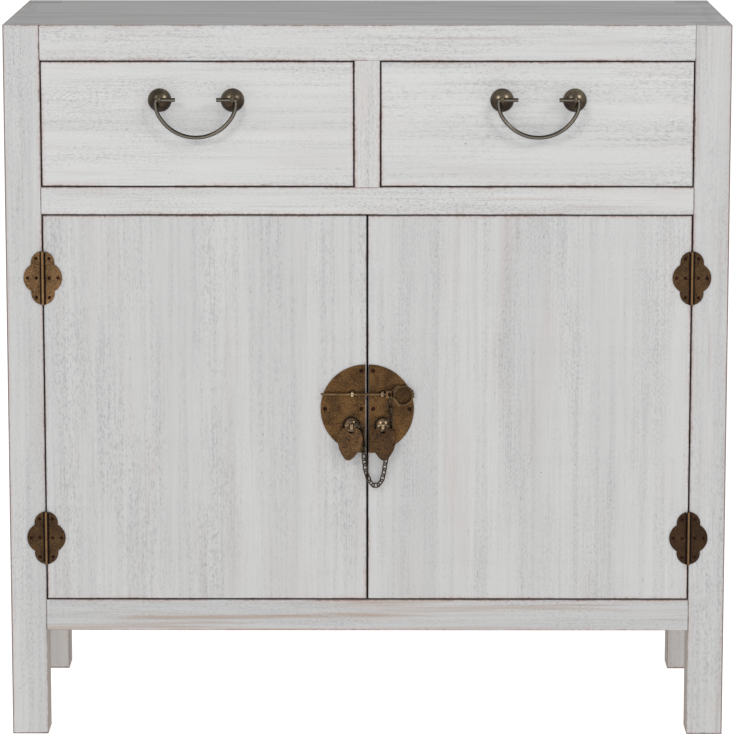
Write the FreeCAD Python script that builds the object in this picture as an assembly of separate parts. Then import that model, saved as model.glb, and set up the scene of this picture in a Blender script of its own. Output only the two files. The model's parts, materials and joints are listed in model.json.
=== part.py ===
import FreeCAD, Part
import math
import os

# A console cabinet: two drawers over a pair of doors, on four square legs.
# Millimetres, +Z up, the front looks along -Y, the floor is z = 0.

V = FreeCAD.Vector
X_AXIS = V(1, 0, 0)
Y_AXIS = V(0, 1, 0)
Z_AXIS = V(0, 0, 1)

# Overall size and the heights that divide the front
WIDTH = 800.0
DEPTH = 350.0
HEIGHT = 800.0
LEG_CLEAR = 120.0
BOTTOM_RAIL = 35.0
MIDDLE_RAIL = 30.0
TOP_RAIL = 39.0
DRAWER_OPENING = 140.0

# Timber sections
LEG_WIDTH = 40.0
LEG_DEPTH = 45.0
LEG_EASE = 1.0
RAIL_THICK = 22.0
MIDDLE_BACK_THICK = 18.0
DIVIDER = 28.0
PANEL = 8.0
FLOOR_THICK = 10.0
FLOOR_DROP = 5.0
TOP_THICK = 18.0
TOP_TONGUE = 6.0
SHELF_THICK = 16.0
SHELF_HOUSING = 3.0
SHELF_SETBACK = 60.0

# Joinery
TENON_LENGTH = 24.0
TENON_THICK = 8.0
TENON_SHOULDER = 8.0
SIDE_TENON = 18.0
GROOVE = 6.0
DIVIDER_TENON = 11.0
DIVIDER_SHOULDER = 5.0
STUB_TENON = 6.0
STUB_SHOULDER = 5.0

# Doors
DOOR_THICK = 18.0
GAP = 1.5
SEAM = 2.0
EDGE_ROUND = 1.5
BATTEN_WIDTH = 60.0
BATTEN_THICK = 14.0
BATTEN_INSET = 30.0
BATTEN_FROM_END = 70.0
BATTEN_BEVEL = 4.0

# Drawers
DRAWER_FRONT = 18.0
DRAWER_SIDE = 12.0
DRAWER_SIDE_HEIGHT = 112.0
DRAWER_LENGTH = 290.0
DRAWER_BOTTOM = 5.0
DRAWER_BOTTOM_UP = 10.0
DRAWER_GROOVE = 5.0
DRAWER_HOUSING = 8.0
DRAWER_PLAY = 2.0
RUNNER_WIDTH = 20.0
RUNNER_THICK = 20.0
GUIDE_HEIGHT = 15.0

# Lotus hinges
HINGE_FROM_END = 71.0
HINGE_HALF_HEIGHT = 30.0
HINGE_SIDE_RADIUS = 17.3
HINGE_SIDE_SHIFT = 4.1
HINGE_END_RADIUS = 13.1
LEAF_THICK = 1.2
BARREL_RADIUS = 2.1
BARREL_OUT = 2.4
BARREL_PLAY = 0.5
HINGE_PIN_RADIUS = 1.1
FRAME_PIN_FIT = 0.05
DOOR_PIN_FIT = 0.15
KNUCKLES = 4
KNUCKLE_PLAY = 0.3
HINGE_NAIL_INNER = 7.2
HINGE_NAIL_OUTER = 16.9
HINGE_NAIL_RISE = 21.8

# Nails
NAIL_HEAD_RADIUS = 1.9
NAIL_HEAD_RISE = 0.7
NAIL_SHANK_RADIUS = 0.9
NAIL_POINT_RADIUS = 0.25
NAIL_LENGTH = 11.0
NAIL_HEAD_TOP_RADIUS = 1.15

# Round lock plate, its eyes and its pulls
PLATE_RADIUS = 50.0
PLATE_GAP = 3.9
PLATE_NAIL_IN = 6.5
PLATE_NAIL_RISE = 43.0
PLATE_NAIL_OUT = 47.0
PIN_RISE = 17.2
LOCK_EYE_X = 16.7
LOCK_EYE_OUT = 3.6
LOCK_EYE_RADIUS = 2.8
LOCK_EYE_WIRE = 1.1
LOCK_EYE_BREADTH = 1.7
BOSS_X = 17.5
BOSS_DROP = 18.5
BOSS_RADIUS = 8.0
BOSS_HEIGHT = 4.2
PULL_EYE_OUT = 8.0
PULL_EYE_RADIUS = 3.6
PULL_EYE_WIRE = 0.9
PULL_EYE_BREADTH = 1.7
SHANK_RADIUS = 1.2
CLINCH_LENGTH = 9.0
CLINCH_THICK = 1.2
PULL_WIDTH = 27.5
PULL_LENGTH = 39.0
PULL_THICK = 1.2
PULL_HOLE_RADIUS = 3.2
PULL_STRIP = 2.0
PULL_TIP_RADIUS = 5.0
PULL_HANG = 1.0
PULL_TILT_LEFT = 6.0
PULL_TILT_RIGHT = -2.0

# Lock pin with its bow
PIN_RADIUS = 1.25
PIN_TIP = 52.0
PIN_TIP_RADIUS = 1.5
PIN_TIP_LENGTH = 3.0
PIN_NECK_START = 20.7
PIN_NECK_END = 29.6
PIN_NECK_HEIGHT = 8.4
PIN_PLATE = 1.6
PIN_HOLE_RADIUS = 2.2
BOW_X = 39.8
BOW_DROP = 1.5
BOW_OUTER = 11.7
BOW_INNER = 8.3
BOW_SHOULDER = 3.0
BOW_POINT_IN = 5.6
BOW_POINT_RISE = 12.6
BOW_ROOT = 2.1
BOW_TOOTH = 1.2
BOW_TOOTH_TURN = 10.0
BOW_TOOTH_STEP = 16.0

# Chain of interlinked oval links
LINK_WIRE = 0.6
LINK_HALF_LENGTH = 4.5
LINK_HALF_WIDTH = 2.25
LINK_PITCH = 6.5
LINK_TWIST = 45.0
LINK_TWIST_OVER = 4
LINK_PLAY = 0.3
CHAIN_OUT = 4.2
CHAIN_LEFT_LINKS = 14
# the hanging route, from left to right: across, out from the plate, up from the lock's middle
CHAIN_ROUTE = [(-8.3, 6.3, -18.0), (-6.3, 4.7, -24.5), (-5.0, CHAIN_OUT, -31.5), (-4.3, CHAIN_OUT, -38.5),
               (-4.1, CHAIN_OUT, -46.0), (-3.9, CHAIN_OUT, -52.5), (-3.4, CHAIN_OUT, -58.5),
               (-2.6, CHAIN_OUT, -64.7), (-1.2, CHAIN_OUT, -71.5), (1.2, CHAIN_OUT, -78.4),
               (4.6, CHAIN_OUT, -84.2), (9.4, CHAIN_OUT, -86.8), (14.2, CHAIN_OUT, -83.8),
               (17.2, CHAIN_OUT, -77.3), (18.8, CHAIN_OUT, -70.0), (19.8, CHAIN_OUT, -62.6),
               (22.0, CHAIN_OUT, -52.0), (24.0, CHAIN_OUT, -40.0), (25.4, CHAIN_OUT, -28.0),
               (26.0, CHAIN_OUT, -18.0), (25.8, CHAIN_OUT, -8.0), (25.4, 3.8, 2.0)]

# Bail handles
HANDLE_RISE = 27.9
HANDLE_OUT = 1.1
HANDLE_SPAN = 80.0
DOME_RADIUS = 13.1
DOME_HEIGHT = 9.0
DOME_DROP = 1.4
HANDLE_EYE_OUT = 12.0
HANDLE_EYE_RADIUS = 3.7
HANDLE_EYE_WIRE = 1.1
HANDLE_EYE_BREADTH = 1.8
BAIL_RADIUS = 2.2
BAIL_ARM = 4.2
BAIL_END = 17.5
BAIL_CORNER = 3.0
BAIL_DROP = 41.4
BAIL_SIDE_RADIUS = 31.0

# How the small round metal is faceted, so that the whole cabinet stays light
ARC_STEP = 15.0
WIRE_SIDES = 6
EYE_FACETS = 10
LINK_END_FACETS = 3
BAIL_STEP = 15.0
DOME_SIDES = 16
DOME_STEPS = (1.0, 0.65, 0.25)
RING_SIDES = 24
HOLE_SIDES = 12
BARREL_SIDES = 8
NAIL_HEAD_SIDES = 5
NAIL_SHANK_SIDES = 4

# Places that follow from the sizes
HANDLE_REACH = HANDLE_EYE_OUT + HANDLE_EYE_RADIUS + HANDLE_EYE_WIRE
FRONT = (HANDLE_REACH - DEPTH) / 2
BACK = FRONT + DEPTH
SIDE = WIDTH / 2
POST_IN = SIDE - LEG_WIDTH
RAIL_IN = SIDE - RAIL_THICK
DOOR_BOTTOM = LEG_CLEAR + BOTTOM_RAIL
DOOR_TOP = HEIGHT - TOP_RAIL - DRAWER_OPENING - MIDDLE_RAIL
DRAWER_FLOOR = DOOR_TOP + MIDDLE_RAIL
DRAWER_CEILING = HEIGHT - TOP_RAIL
PANEL_OUT = SIDE - (RAIL_THICK - PANEL) / 2
PANEL_IN = PANEL_OUT - PANEL
BACK_PANEL_FRONT = BACK - (RAIL_THICK + PANEL) / 2
MIDDLE_BACK = BACK_PANEL_FRONT - MIDDLE_BACK_THICK
LOCK_Z = (DOOR_BOTTOM + DOOR_TOP) / 2
PLATE_FACE = FRONT - LEAF_THICK
HINGE_X = POST_IN - GAP / 2
HINGE_Y = FRONT - BARREL_OUT
HINGE_HEIGHTS = {"upper": DOOR_TOP - HINGE_FROM_END, "lower": DOOR_BOTTOM + HINGE_FROM_END}
PIN_Y = PLATE_FACE - LOCK_EYE_OUT
PIN_Z = LOCK_Z + PIN_RISE
HANDLE_X = (POST_IN + DIVIDER / 2) / 2 + HANDLE_OUT
HANDLE_Y = FRONT - HANDLE_EYE_OUT
HANDLE_Z = (DRAWER_FLOOR + DRAWER_CEILING) / 2 + HANDLE_RISE
SIDES = {"left": -1, "right": 1}
SAME = 1e-6


def box(x0, x1, y0, y1, z0, z1):
    """A block between two corners, given in any order along X."""
    return Part.makeBox(abs(x1 - x0), y1 - y0, z1 - z0, V(min(x0, x1), y0, z0))


def rod(start, end, radius):
    """A round bar from one point to another."""
    return Part.makeCylinder(radius, (end - start).Length, start, end - start)


def prism(start, end, radius, sides):
    """A bar with a regular section from one point to another along Z."""
    angles = [math.pi * (2 * side + 1) / sides for side in range(sides + 1)]
    section = [start + V(radius * math.cos(angle), radius * math.sin(angle), 0) for angle in angles]
    return Part.Face(Part.makePolygon(section)).extrude(end - start)


def polygon(x, y, z, radius, sides):
    """Corners of a regular outline that faces the front."""
    angles = [math.pi * (2 * side + 1) / sides for side in range(sides)]
    return [V(x + radius * math.cos(angle), y, z + radius * math.sin(angle)) for angle in angles]


def face_of(corners):
    """A flat face inside a closed row of corners."""
    return Part.Face(Part.makePolygon(corners + corners[:1]))


def skin(rings, closed=False):
    """A solid of flat facets: each ring of corners is joined to the next, and open ends are capped."""
    faces = []
    for index in range(len(rings) if closed else len(rings) - 1):
        here, there = rings[index], rings[(index + 1) % len(rings)]
        for side in range(len(here)):
            turn = (side + 1) % len(here)
            faces.append(face_of([here[side], here[turn], there[turn], there[side]]))
    if not closed:
        faces += [face_of(rings[0]), face_of(rings[-1])]
    solid = Part.makeSolid(Part.makeShell(faces))
    if solid.Volume < 0:
        solid.reverse()
    return solid


def disc(x, z, radius, sides, y, thick):
    """A round plate that faces the front, its flats on the given radius."""
    outline = polygon(x, y, z, radius / math.cos(math.pi / sides), sides)
    return face_of(outline).extrude(V(0, thick, 0))


def fuse(first, *others):
    """One solid from pieces that touch or overlap."""
    return first.fuse(list(others)).removeSplitter()


def cut(shape, *tools):
    """The shape with every tool taken out of it."""
    return shape.cut(list(tools))


def mirrored(shape):
    """The same piece on the other side of the middle plane."""
    return shape.mirror(V(0, 0, 0), X_AXIS)


def runs_along(edge, axis):
    """True for a straight edge parallel to the axis."""
    first, last = edge.Vertexes[0].Point, edge.Vertexes[-1].Point
    way = last - first
    return way.Length > SAME and way.normalize().cross(axis).Length < SAME


def on_front(edge):
    """True for an edge that lies in the front plane."""
    return all(abs(v.Point.y - FRONT) < SAME for v in edge.Vertexes)


def bent_wire(points, normal, radius, closed, breadth=None):
    """A faceted wire or strap along straight runs in one plane, mitred at each bend."""
    breadth = breadth or radius
    count = len(points)
    sections = []
    for index, point in enumerate(points):
        before = point - points[index - 1]
        after = points[(index + 1) % count] - point
        if not closed and index == 0:
            before = after
        if not closed and index == count - 1:
            after = before
        before.normalize()
        after.normalize()
        across = normal.cross(before + after).normalize()
        stretch = 1 / math.sqrt((1 + before.dot(after)) / 2)
        angles = [2 * math.pi * side / WIRE_SIDES for side in range(WIRE_SIDES)]
        wide = across * (radius * stretch)
        deep = normal * breadth
        sections.append([point + wide * math.cos(angle) + deep * math.sin(angle) for angle in angles])
    return skin(sections, closed)


def ring(centre, radius, wire, breadth):
    """An eye of bent strap standing square to the front, its hole along X."""
    angles = [2 * math.pi * step / EYE_FACETS for step in range(EYE_FACETS)]
    points = [centre + V(0, radius * math.cos(angle), radius * math.sin(angle)) for angle in angles]
    return bent_wire(points, X_AXIS, wire, True, breadth)


def flat(outline, y0, thick):
    """A plate cut to a closed outline of points drawn in the X-Z plane at y = 0."""
    before = outline[-1:] + outline[:-1]
    corners = [point for point, last in zip(outline, before) if (point - last).Length > SAME]
    plate = face_of(corners).extrude(V(0, thick, 0))
    plate.translate(V(0, y0, 0))
    return plate


def at(x, z):
    """A point of an outline."""
    return V(x, 0, z)


def arc(a, b, c):
    """Points a chord apart on the arc through three points."""
    curve = Part.Arc(a, b, c)
    sweep = curve.LastParameter - curve.FirstParameter
    return curve.discretize(1 + math.ceil(sweep / math.radians(ARC_STEP)))


parts = {}

# Rails: each has a tenon at both ends, centred in its thickness


def cross_rail(y0, thick, z0, z1):
    """A rail along X between the legs."""
    middle = y0 + thick / 2
    reach = POST_IN + TENON_LENGTH
    tenon = box(-reach, reach, middle - TENON_THICK / 2, middle + TENON_THICK / 2,
                z0 + TENON_SHOULDER, z1 - TENON_SHOULDER)
    return fuse(box(-POST_IN, POST_IN, y0, y0 + thick, z0, z1), tenon)


def side_rail(z0, z1):
    """The left rail along Y between a front leg and a back leg."""
    middle = (SIDE + RAIL_IN) / 2
    tenon = box(-middle - TENON_THICK / 2, -middle + TENON_THICK / 2,
                FRONT + LEG_DEPTH - SIDE_TENON, BACK - LEG_DEPTH + SIDE_TENON,
                z0 + TENON_SHOULDER, z1 - TENON_SHOULDER)
    return fuse(box(-SIDE, -RAIL_IN, FRONT + LEG_DEPTH, BACK - LEG_DEPTH, z0, z1), tenon)


levels = {"top": (DRAWER_CEILING, HEIGHT), "bottom": (LEG_CLEAR, DOOR_BOTTOM)}
rails = {}
for name, (low, high) in levels.items():
    rails[f"{name}_rail_front"] = cross_rail(FRONT, RAIL_THICK, low, high)
    rails[f"{name}_rail_back"] = cross_rail(BACK - RAIL_THICK, RAIL_THICK, low, high)
    rails[f"{name}_rail_left"] = side_rail(low, high)
    rails[f"{name}_rail_right"] = mirrored(side_rail(low, high))
rails["middle_rail_front"] = cross_rail(FRONT, RAIL_THICK, DOOR_TOP, DRAWER_FLOOR)
rails["middle_rail_back"] = cross_rail(MIDDLE_BACK, MIDDLE_BACK_THICK, DOOR_TOP, DRAWER_FLOOR)

# Panels in their grooves
side_panel = box(-PANEL_OUT, -PANEL_IN, FRONT + LEG_DEPTH - GROOVE, BACK - LEG_DEPTH + GROOVE,
                 DOOR_BOTTOM - GROOVE, DRAWER_CEILING + GROOVE)
back_panel = box(-POST_IN - GROOVE, POST_IN + GROOVE, BACK_PANEL_FRONT, BACK_PANEL_FRONT + PANEL,
                 DOOR_BOTTOM - GROOVE, DRAWER_CEILING + GROOVE)
floor_top = DOOR_BOTTOM - FLOOR_DROP
floor_panel = box(-RAIL_IN - GROOVE, RAIL_IN + GROOVE,
                  FRONT + RAIL_THICK - GROOVE, BACK - RAIL_THICK + GROOVE,
                  floor_top - FLOOR_THICK, floor_top)
tongue_low = HEIGHT - (TOP_THICK + TOP_TONGUE) / 2
top_board = box(-RAIL_IN, RAIL_IN, FRONT + RAIL_THICK, BACK - RAIL_THICK, HEIGHT - TOP_THICK, HEIGHT)
top_tongue = box(-RAIL_IN - GROOVE, RAIL_IN + GROOVE,
                 FRONT + RAIL_THICK - GROOVE, BACK - RAIL_THICK + GROOVE,
                 tongue_low, tongue_low + TOP_TONGUE)
top_panel = fuse(top_board, top_tongue)
shelf_reach = PANEL_IN + SHELF_HOUSING
shelf_low = LOCK_Z - SHELF_THICK / 2
shelf = box(-shelf_reach, shelf_reach, FRONT + SHELF_SETBACK, BACK_PANEL_FRONT,
            shelf_low, shelf_low + SHELF_THICK)

# Upright between the drawers, tenoned into the rails above and below
divider_half = DIVIDER / 2 - DIVIDER_SHOULDER
divider_tenon = box(-divider_half, divider_half, FRONT + (RAIL_THICK - TENON_THICK) / 2,
                    FRONT + (RAIL_THICK + TENON_THICK) / 2,
                    DRAWER_FLOOR - DIVIDER_TENON, DRAWER_CEILING + DIVIDER_TENON)
drawer_divider = fuse(box(-DIVIDER / 2, DIVIDER / 2, FRONT, FRONT + RAIL_THICK,
                          DRAWER_FLOOR, DRAWER_CEILING), divider_tenon)

# Drawer runners: a ledge under the drawer side and a guide strip beside it
ledge_low = DRAWER_FLOOR - RUNNER_THICK
stub_low = ledge_low + STUB_SHOULDER
stub_high = DRAWER_FLOOR - STUB_SHOULDER


def runner(x0, x1, guide_x0, guide_x1, guide_front, guide_back, guide_low):
    """One runner from the front rail to the back rail, with stub tenons."""
    ledge = box(x0, x1, FRONT + RAIL_THICK, MIDDLE_BACK, ledge_low, DRAWER_FLOOR)
    stub = box(x0 + STUB_SHOULDER, x1 - STUB_SHOULDER,
               FRONT + RAIL_THICK - STUB_TENON, MIDDLE_BACK + STUB_TENON, stub_low, stub_high)
    guide = box(guide_x0, guide_x1, guide_front, guide_back, guide_low, DRAWER_FLOOR + GUIDE_HEIGHT)
    return fuse(ledge, stub, guide)


runner_left = runner(-POST_IN, -POST_IN + RUNNER_WIDTH, -PANEL_IN, -POST_IN,
                     FRONT + LEG_DEPTH, BACK - LEG_DEPTH, ledge_low)
runner_middle = runner(-DIVIDER / 2 - RUNNER_WIDTH, DIVIDER / 2 + RUNNER_WIDTH, -DIVIDER / 2, DIVIDER / 2,
                       FRONT + RAIL_THICK, MIDDLE_BACK, DRAWER_FLOOR)
runners = [runner_left, runner_middle, mirrored(runner_left)]

# Legs: full height posts, mortised and grooved for what enters them
leg_blank = box(-SIDE, -POST_IN, FRONT, FRONT + LEG_DEPTH, 0, HEIGHT)
leg_blank = leg_blank.makeChamfer(LEG_EASE, [edge for edge in leg_blank.Edges if runs_along(edge, Z_AXIS)])
legs = {"leg_front_left": leg_blank, "leg_front_right": mirrored(leg_blank)}
for name in ("left", "right"):
    legs[f"leg_back_{name}"] = legs[f"leg_front_{name}"].copy()
    legs[f"leg_back_{name}"].translate(V(0, DEPTH - LEG_DEPTH, 0))
side_panels = {"side_panel_left": side_panel, "side_panel_right": mirrored(side_panel)}

# Every inserted piece cuts its own seat in what receives it
leg_square = [box(sx * SIDE, sx * POST_IN, y0, y0 + LEG_DEPTH, 0, HEIGHT)
              for sx in SIDES.values() for y0 in (FRONT, BACK - LEG_DEPTH)]
floor_panel = cut(floor_panel, *leg_square)
top_panel = cut(top_panel, *leg_square)
shelf = cut(shelf, *leg_square)
for name, leg in legs.items():
    parts[name] = cut(leg, *rails.values(), *side_panels.values(), back_panel)
for name, rail in rails.items():
    guests = [drawer_divider, floor_panel, top_panel, *runners]
    if not name.startswith("middle"):
        guests += [back_panel, *side_panels.values()]
    parts[name] = cut(rail, *guests)
for name, panel in side_panels.items():
    parts[name] = cut(panel, shelf)
parts["back_panel"] = back_panel
parts["floor_panel"] = floor_panel
parts["top_panel"] = top_panel
parts["shelf"] = shelf
parts["drawer_divider"] = drawer_divider
parts["drawer_runners"] = Part.makeCompound(runners)

# Nails: hand-forged, with a faceted head on a square shank that tapers to its point, driven along +Y


def nail(x, y, z):
    """One nail whose head sits on the plane y."""
    head = skin([polygon(x, y, z, NAIL_HEAD_RADIUS, NAIL_HEAD_SIDES),
                 polygon(x, y - NAIL_HEAD_RISE, z, NAIL_HEAD_TOP_RADIUS, NAIL_HEAD_SIDES)])
    shank = skin([polygon(x, y, z, NAIL_SHANK_RADIUS, NAIL_SHANK_SIDES),
                  polygon(x, y + NAIL_LENGTH, z, NAIL_POINT_RADIUS, NAIL_SHANK_SIDES)])
    return fuse(head, shank)


# Lotus hinges, drawn on the left side


def hinge_outline(side):
    """Half of the lotus outline about the pin: a side lobe between two end lobes."""
    end_z = HINGE_HALF_HEIGHT - HINGE_END_RADIUS
    across = HINGE_SIDE_SHIFT
    span = math.hypot(across, end_z)
    along = (HINGE_SIDE_RADIUS ** 2 - HINGE_END_RADIUS ** 2 + span ** 2) / (2 * span)
    off = math.sqrt(HINGE_SIDE_RADIUS ** 2 - along ** 2)
    # the outer crossing of the side lobe with the upper end lobe
    cusp_x = across - across / span * along + end_z / span * off
    cusp_z = end_z / span * along + across / span * off
    inner = BARREL_RADIUS + BARREL_PLAY
    top_z = end_z + math.sqrt(HINGE_END_RADIUS ** 2 - inner ** 2)
    bend = (math.atan2(cusp_z - end_z, cusp_x) + math.atan2(top_z - end_z, inner)) / 2
    lobe = (HINGE_END_RADIUS * math.cos(bend), end_z + HINGE_END_RADIUS * math.sin(bend))
    side_tip = (across + HINGE_SIDE_RADIUS, 0)
    points = [(inner, top_z), lobe, (cusp_x, cusp_z), side_tip]
    up = [at(side * x, z) for x, z in points]
    down = [at(side * x, -z) for x, z in points]
    return arc(up[0], up[1], up[2]) + arc(up[2], up[3], down[2]) + arc(down[2], down[1], down[0])


def hinge_leaf(side, z, first, bore):
    """A leaf with every other knuckle, beginning with the given one."""
    leaf = flat(hinge_outline(side), PLATE_FACE, LEAF_THICK)
    leaf.translate(V(-HINGE_X, 0, z))
    length = 2 * HINGE_HALF_HEIGHT / KNUCKLES
    for index in range(first, KNUCKLES, 2):
        low = z - HINGE_HALF_HEIGHT + index * length + KNUCKLE_PLAY / 2
        high = low + length - KNUCKLE_PLAY
        barrel = prism(V(-HINGE_X, HINGE_Y, low), V(-HINGE_X, HINGE_Y, high), BARREL_RADIUS, BARREL_SIDES)
        web = box(-HINGE_X, -HINGE_X + side * (BARREL_RADIUS + 2 * BARREL_PLAY),
                  PLATE_FACE, FRONT - BARREL_PLAY / 2, low + BARREL_PLAY, high - BARREL_PLAY)
        leaf = fuse(leaf, barrel, web)
    hole = prism(V(-HINGE_X, HINGE_Y, z - HINGE_HALF_HEIGHT), V(-HINGE_X, HINGE_Y, z + HINGE_HALF_HEIGHT),
                 bore / math.cos(math.pi / BARREL_SIDES), BARREL_SIDES)
    return cut(leaf, hole)


def hinge_nails(side, z):
    """The four nails of one leaf."""
    places = [(HINGE_NAIL_INNER, 0), (HINGE_NAIL_OUTER, 0),
              (HINGE_NAIL_INNER, HINGE_NAIL_RISE), (HINGE_NAIL_INNER, -HINGE_NAIL_RISE)]
    return [nail(-HINGE_X + side * x, PLATE_FACE, z + dz) for x, dz in places]


frame_nails = []
door_nails = {"left": [], "right": []}
hinge_pins = []
for level, z in HINGE_HEIGHTS.items():
    pin = rod(V(-HINGE_X, HINGE_Y, z - HINGE_HALF_HEIGHT), V(-HINGE_X, HINGE_Y, z + HINGE_HALF_HEIGHT),
              HINGE_PIN_RADIUS)
    frame_leaf = hinge_leaf(-1, z, 1, HINGE_PIN_RADIUS + FRAME_PIN_FIT)
    door_leaf = hinge_leaf(1, z, 0, HINGE_PIN_RADIUS + DOOR_PIN_FIT)
    on_frame = hinge_nails(-1, z)
    on_door = hinge_nails(1, z)
    for name in SIDES:
        place = mirrored if name == "right" else Part.Shape.copy
        hinge_pins.append(place(pin))
        frame_set = [place(shape) for shape in on_frame]
        door_set = [place(shape) for shape in on_door]
        frame_nails += frame_set
        door_nails[name] += door_set
        parts[f"hinge_leaf_frame_{level}_{name}"] = cut(place(frame_leaf), *frame_set)
        parts[f"hinge_leaf_door_{level}_{name}"] = cut(place(door_leaf), *door_set)
parts["hinge_pins"] = Part.makeCompound(hinge_pins)
parts["frame_nails"] = Part.makeCompound(frame_nails)
for name in SIDES:
    parts[f"leg_front_{name}"] = cut(parts[f"leg_front_{name}"], *frame_nails)

# Round lock plate, one half on each door


def plate_half(side):
    """A half disc with its straight edge along the seam."""
    edge = side * PLATE_GAP / 2
    outline = arc(at(edge, PLATE_RADIUS), at(edge + side * PLATE_RADIUS, 0), at(edge, -PLATE_RADIUS))
    half = flat(outline, PLATE_FACE, LEAF_THICK)
    half.translate(V(0, 0, LOCK_Z))
    return half


def eye_with_shank(x, y, z, radius, wire, breadth, inside):
    """A split pin: an eye in front, a shank through the wood, two legs bent over inside."""
    root = y + radius
    shank = box(x - SHANK_RADIUS, x + SHANK_RADIUS, root, inside + CLINCH_THICK,
                z - SHANK_RADIUS, z + SHANK_RADIUS)
    clinch = box(x - SHANK_RADIUS, x + SHANK_RADIUS, inside, inside + CLINCH_THICK,
                 z - CLINCH_LENGTH, z + CLINCH_LENGTH)
    return fuse(ring(V(x, y, z), radius, wire, breadth), shank, clinch)


def dome(x, face, z, radius, height):
    """A domed boss: rings of a ball's cap joined by flat facets."""
    ball = (radius ** 2 + height ** 2) / (2 * height)
    reach = math.asin(radius / ball)
    rings = [(ball * math.sin(reach * step), ball * math.cos(reach * step)) for step in DOME_STEPS]
    rim = rings[0][1]
    return skin([polygon(x, face - rise + rim, z, across, DOME_SIDES) for across, rise in rings])


lock_studs = {}
for name, side in SIDES.items():
    back = FRONT + DOOR_THICK
    lock_eye = eye_with_shank(side * LOCK_EYE_X, PLATE_FACE - LOCK_EYE_OUT, LOCK_Z + PIN_RISE,
                              LOCK_EYE_RADIUS, LOCK_EYE_WIRE, LOCK_EYE_BREADTH, back)
    pull_eye = eye_with_shank(side * BOSS_X, PLATE_FACE - PULL_EYE_OUT, LOCK_Z - BOSS_DROP,
                              PULL_EYE_RADIUS, PULL_EYE_WIRE, PULL_EYE_BREADTH, back)
    boss = dome(side * BOSS_X, PLATE_FACE, LOCK_Z - BOSS_DROP, BOSS_RADIUS, BOSS_HEIGHT)
    studs = [lock_eye, pull_eye, cut(boss, pull_eye)]
    places = [(PLATE_NAIL_IN, PLATE_NAIL_RISE), (PLATE_NAIL_OUT, 0), (PLATE_NAIL_IN, 0)]
    plate_nails = [nail(side * x, PLATE_FACE, LOCK_Z + dz) for x, dz in places]
    door_nails[name] += plate_nails
    parts[f"lock_plate_{name}"] = cut(plate_half(side), *studs, *plate_nails)
    parts[f"lock_studs_{name}"] = Part.makeCompound(studs)
    parts[f"door_nails_{name}"] = Part.makeCompound(door_nails[name])
    lock_studs[name] = studs

# Doors: frameless boards with two battens behind
door_blank = box(-POST_IN + GAP, -SEAM / 2, FRONT, FRONT + DOOR_THICK, DOOR_BOTTOM + GAP, DOOR_TOP - GAP)
door_blank = door_blank.makeFillet(EDGE_ROUND, [edge for edge in door_blank.Edges if on_front(edge)])


def batten(z):
    """A bevelled cross batten on the back of the left door."""
    y0 = FRONT + DOOR_THICK
    board = box(-POST_IN + BATTEN_INSET, -BATTEN_INSET, y0, y0 + BATTEN_THICK,
                z - BATTEN_WIDTH / 2, z + BATTEN_WIDTH / 2)
    rim = [edge for edge in board.Edges
           if all(abs(v.Point.y - y0 - BATTEN_THICK) < SAME for v in edge.Vertexes)]
    return board.makeChamfer(BATTEN_BEVEL, rim)


battens = [batten(DOOR_TOP - BATTEN_FROM_END), batten(DOOR_BOTTOM + BATTEN_FROM_END)]
for name in SIDES:
    place = mirrored if name == "right" else Part.Shape.copy
    parts[f"door_{name}"] = cut(place(door_blank), *door_nails[name], *lock_studs[name])
    parts[f"door_battens_{name}"] = Part.makeCompound([place(shape) for shape in battens])

# Leaf pulls hang in the eyes


def pull(side, tilt):
    """A leaf-shaped plate with a hole near its top, hanging in its eye."""
    hole_top = -(PULL_EYE_RADIUS - PULL_EYE_WIRE) + PULL_HANG
    top = hole_top + PULL_STRIP
    tip = top - PULL_LENGTH
    half = PULL_WIDTH / 2
    waist = top - half
    # the head is a half round, the flanks are long arcs down to a blunt rounded tip
    reach = waist - tip - PULL_TIP_RADIUS
    flank = (reach ** 2 + half ** 2 - PULL_TIP_RADIUS ** 2) / (2 * (half - PULL_TIP_RADIUS))
    lean = math.atan2(reach, flank - half)
    meet = (PULL_TIP_RADIUS * math.cos(lean), tip + PULL_TIP_RADIUS - PULL_TIP_RADIUS * math.sin(lean))
    along = (half - flank + flank * math.cos(lean / 2), waist - flank * math.sin(lean / 2))
    right = [at(half, waist), at(*along), at(*meet)]
    left = [at(-point.x, point.z) for point in reversed(right)]
    outline = arc(left[2], at(0, top), right[0]) + arc(*right) + arc(right[2], at(0, tip), left[0]) + arc(*left)
    hole = disc(0, hole_top - PULL_HOLE_RADIUS, PULL_HOLE_RADIUS, HOLE_SIDES, -PULL_THICK, 2 * PULL_THICK)
    leaf = cut(flat(outline, -PULL_THICK / 2, PULL_THICK), hole)
    leaf.rotate(V(0, 0, 0), Y_AXIS, tilt)
    leaf.translate(V(side * BOSS_X, PLATE_FACE - PULL_EYE_OUT, LOCK_Z - BOSS_DROP))
    return leaf


parts["pull_left"] = pull(-1, PULL_TILT_LEFT)
parts["pull_right"] = pull(1, PULL_TILT_RIGHT)

# Lock pin: a round bar, a flat neck with a hole for the chain, and a ring bow


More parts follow.
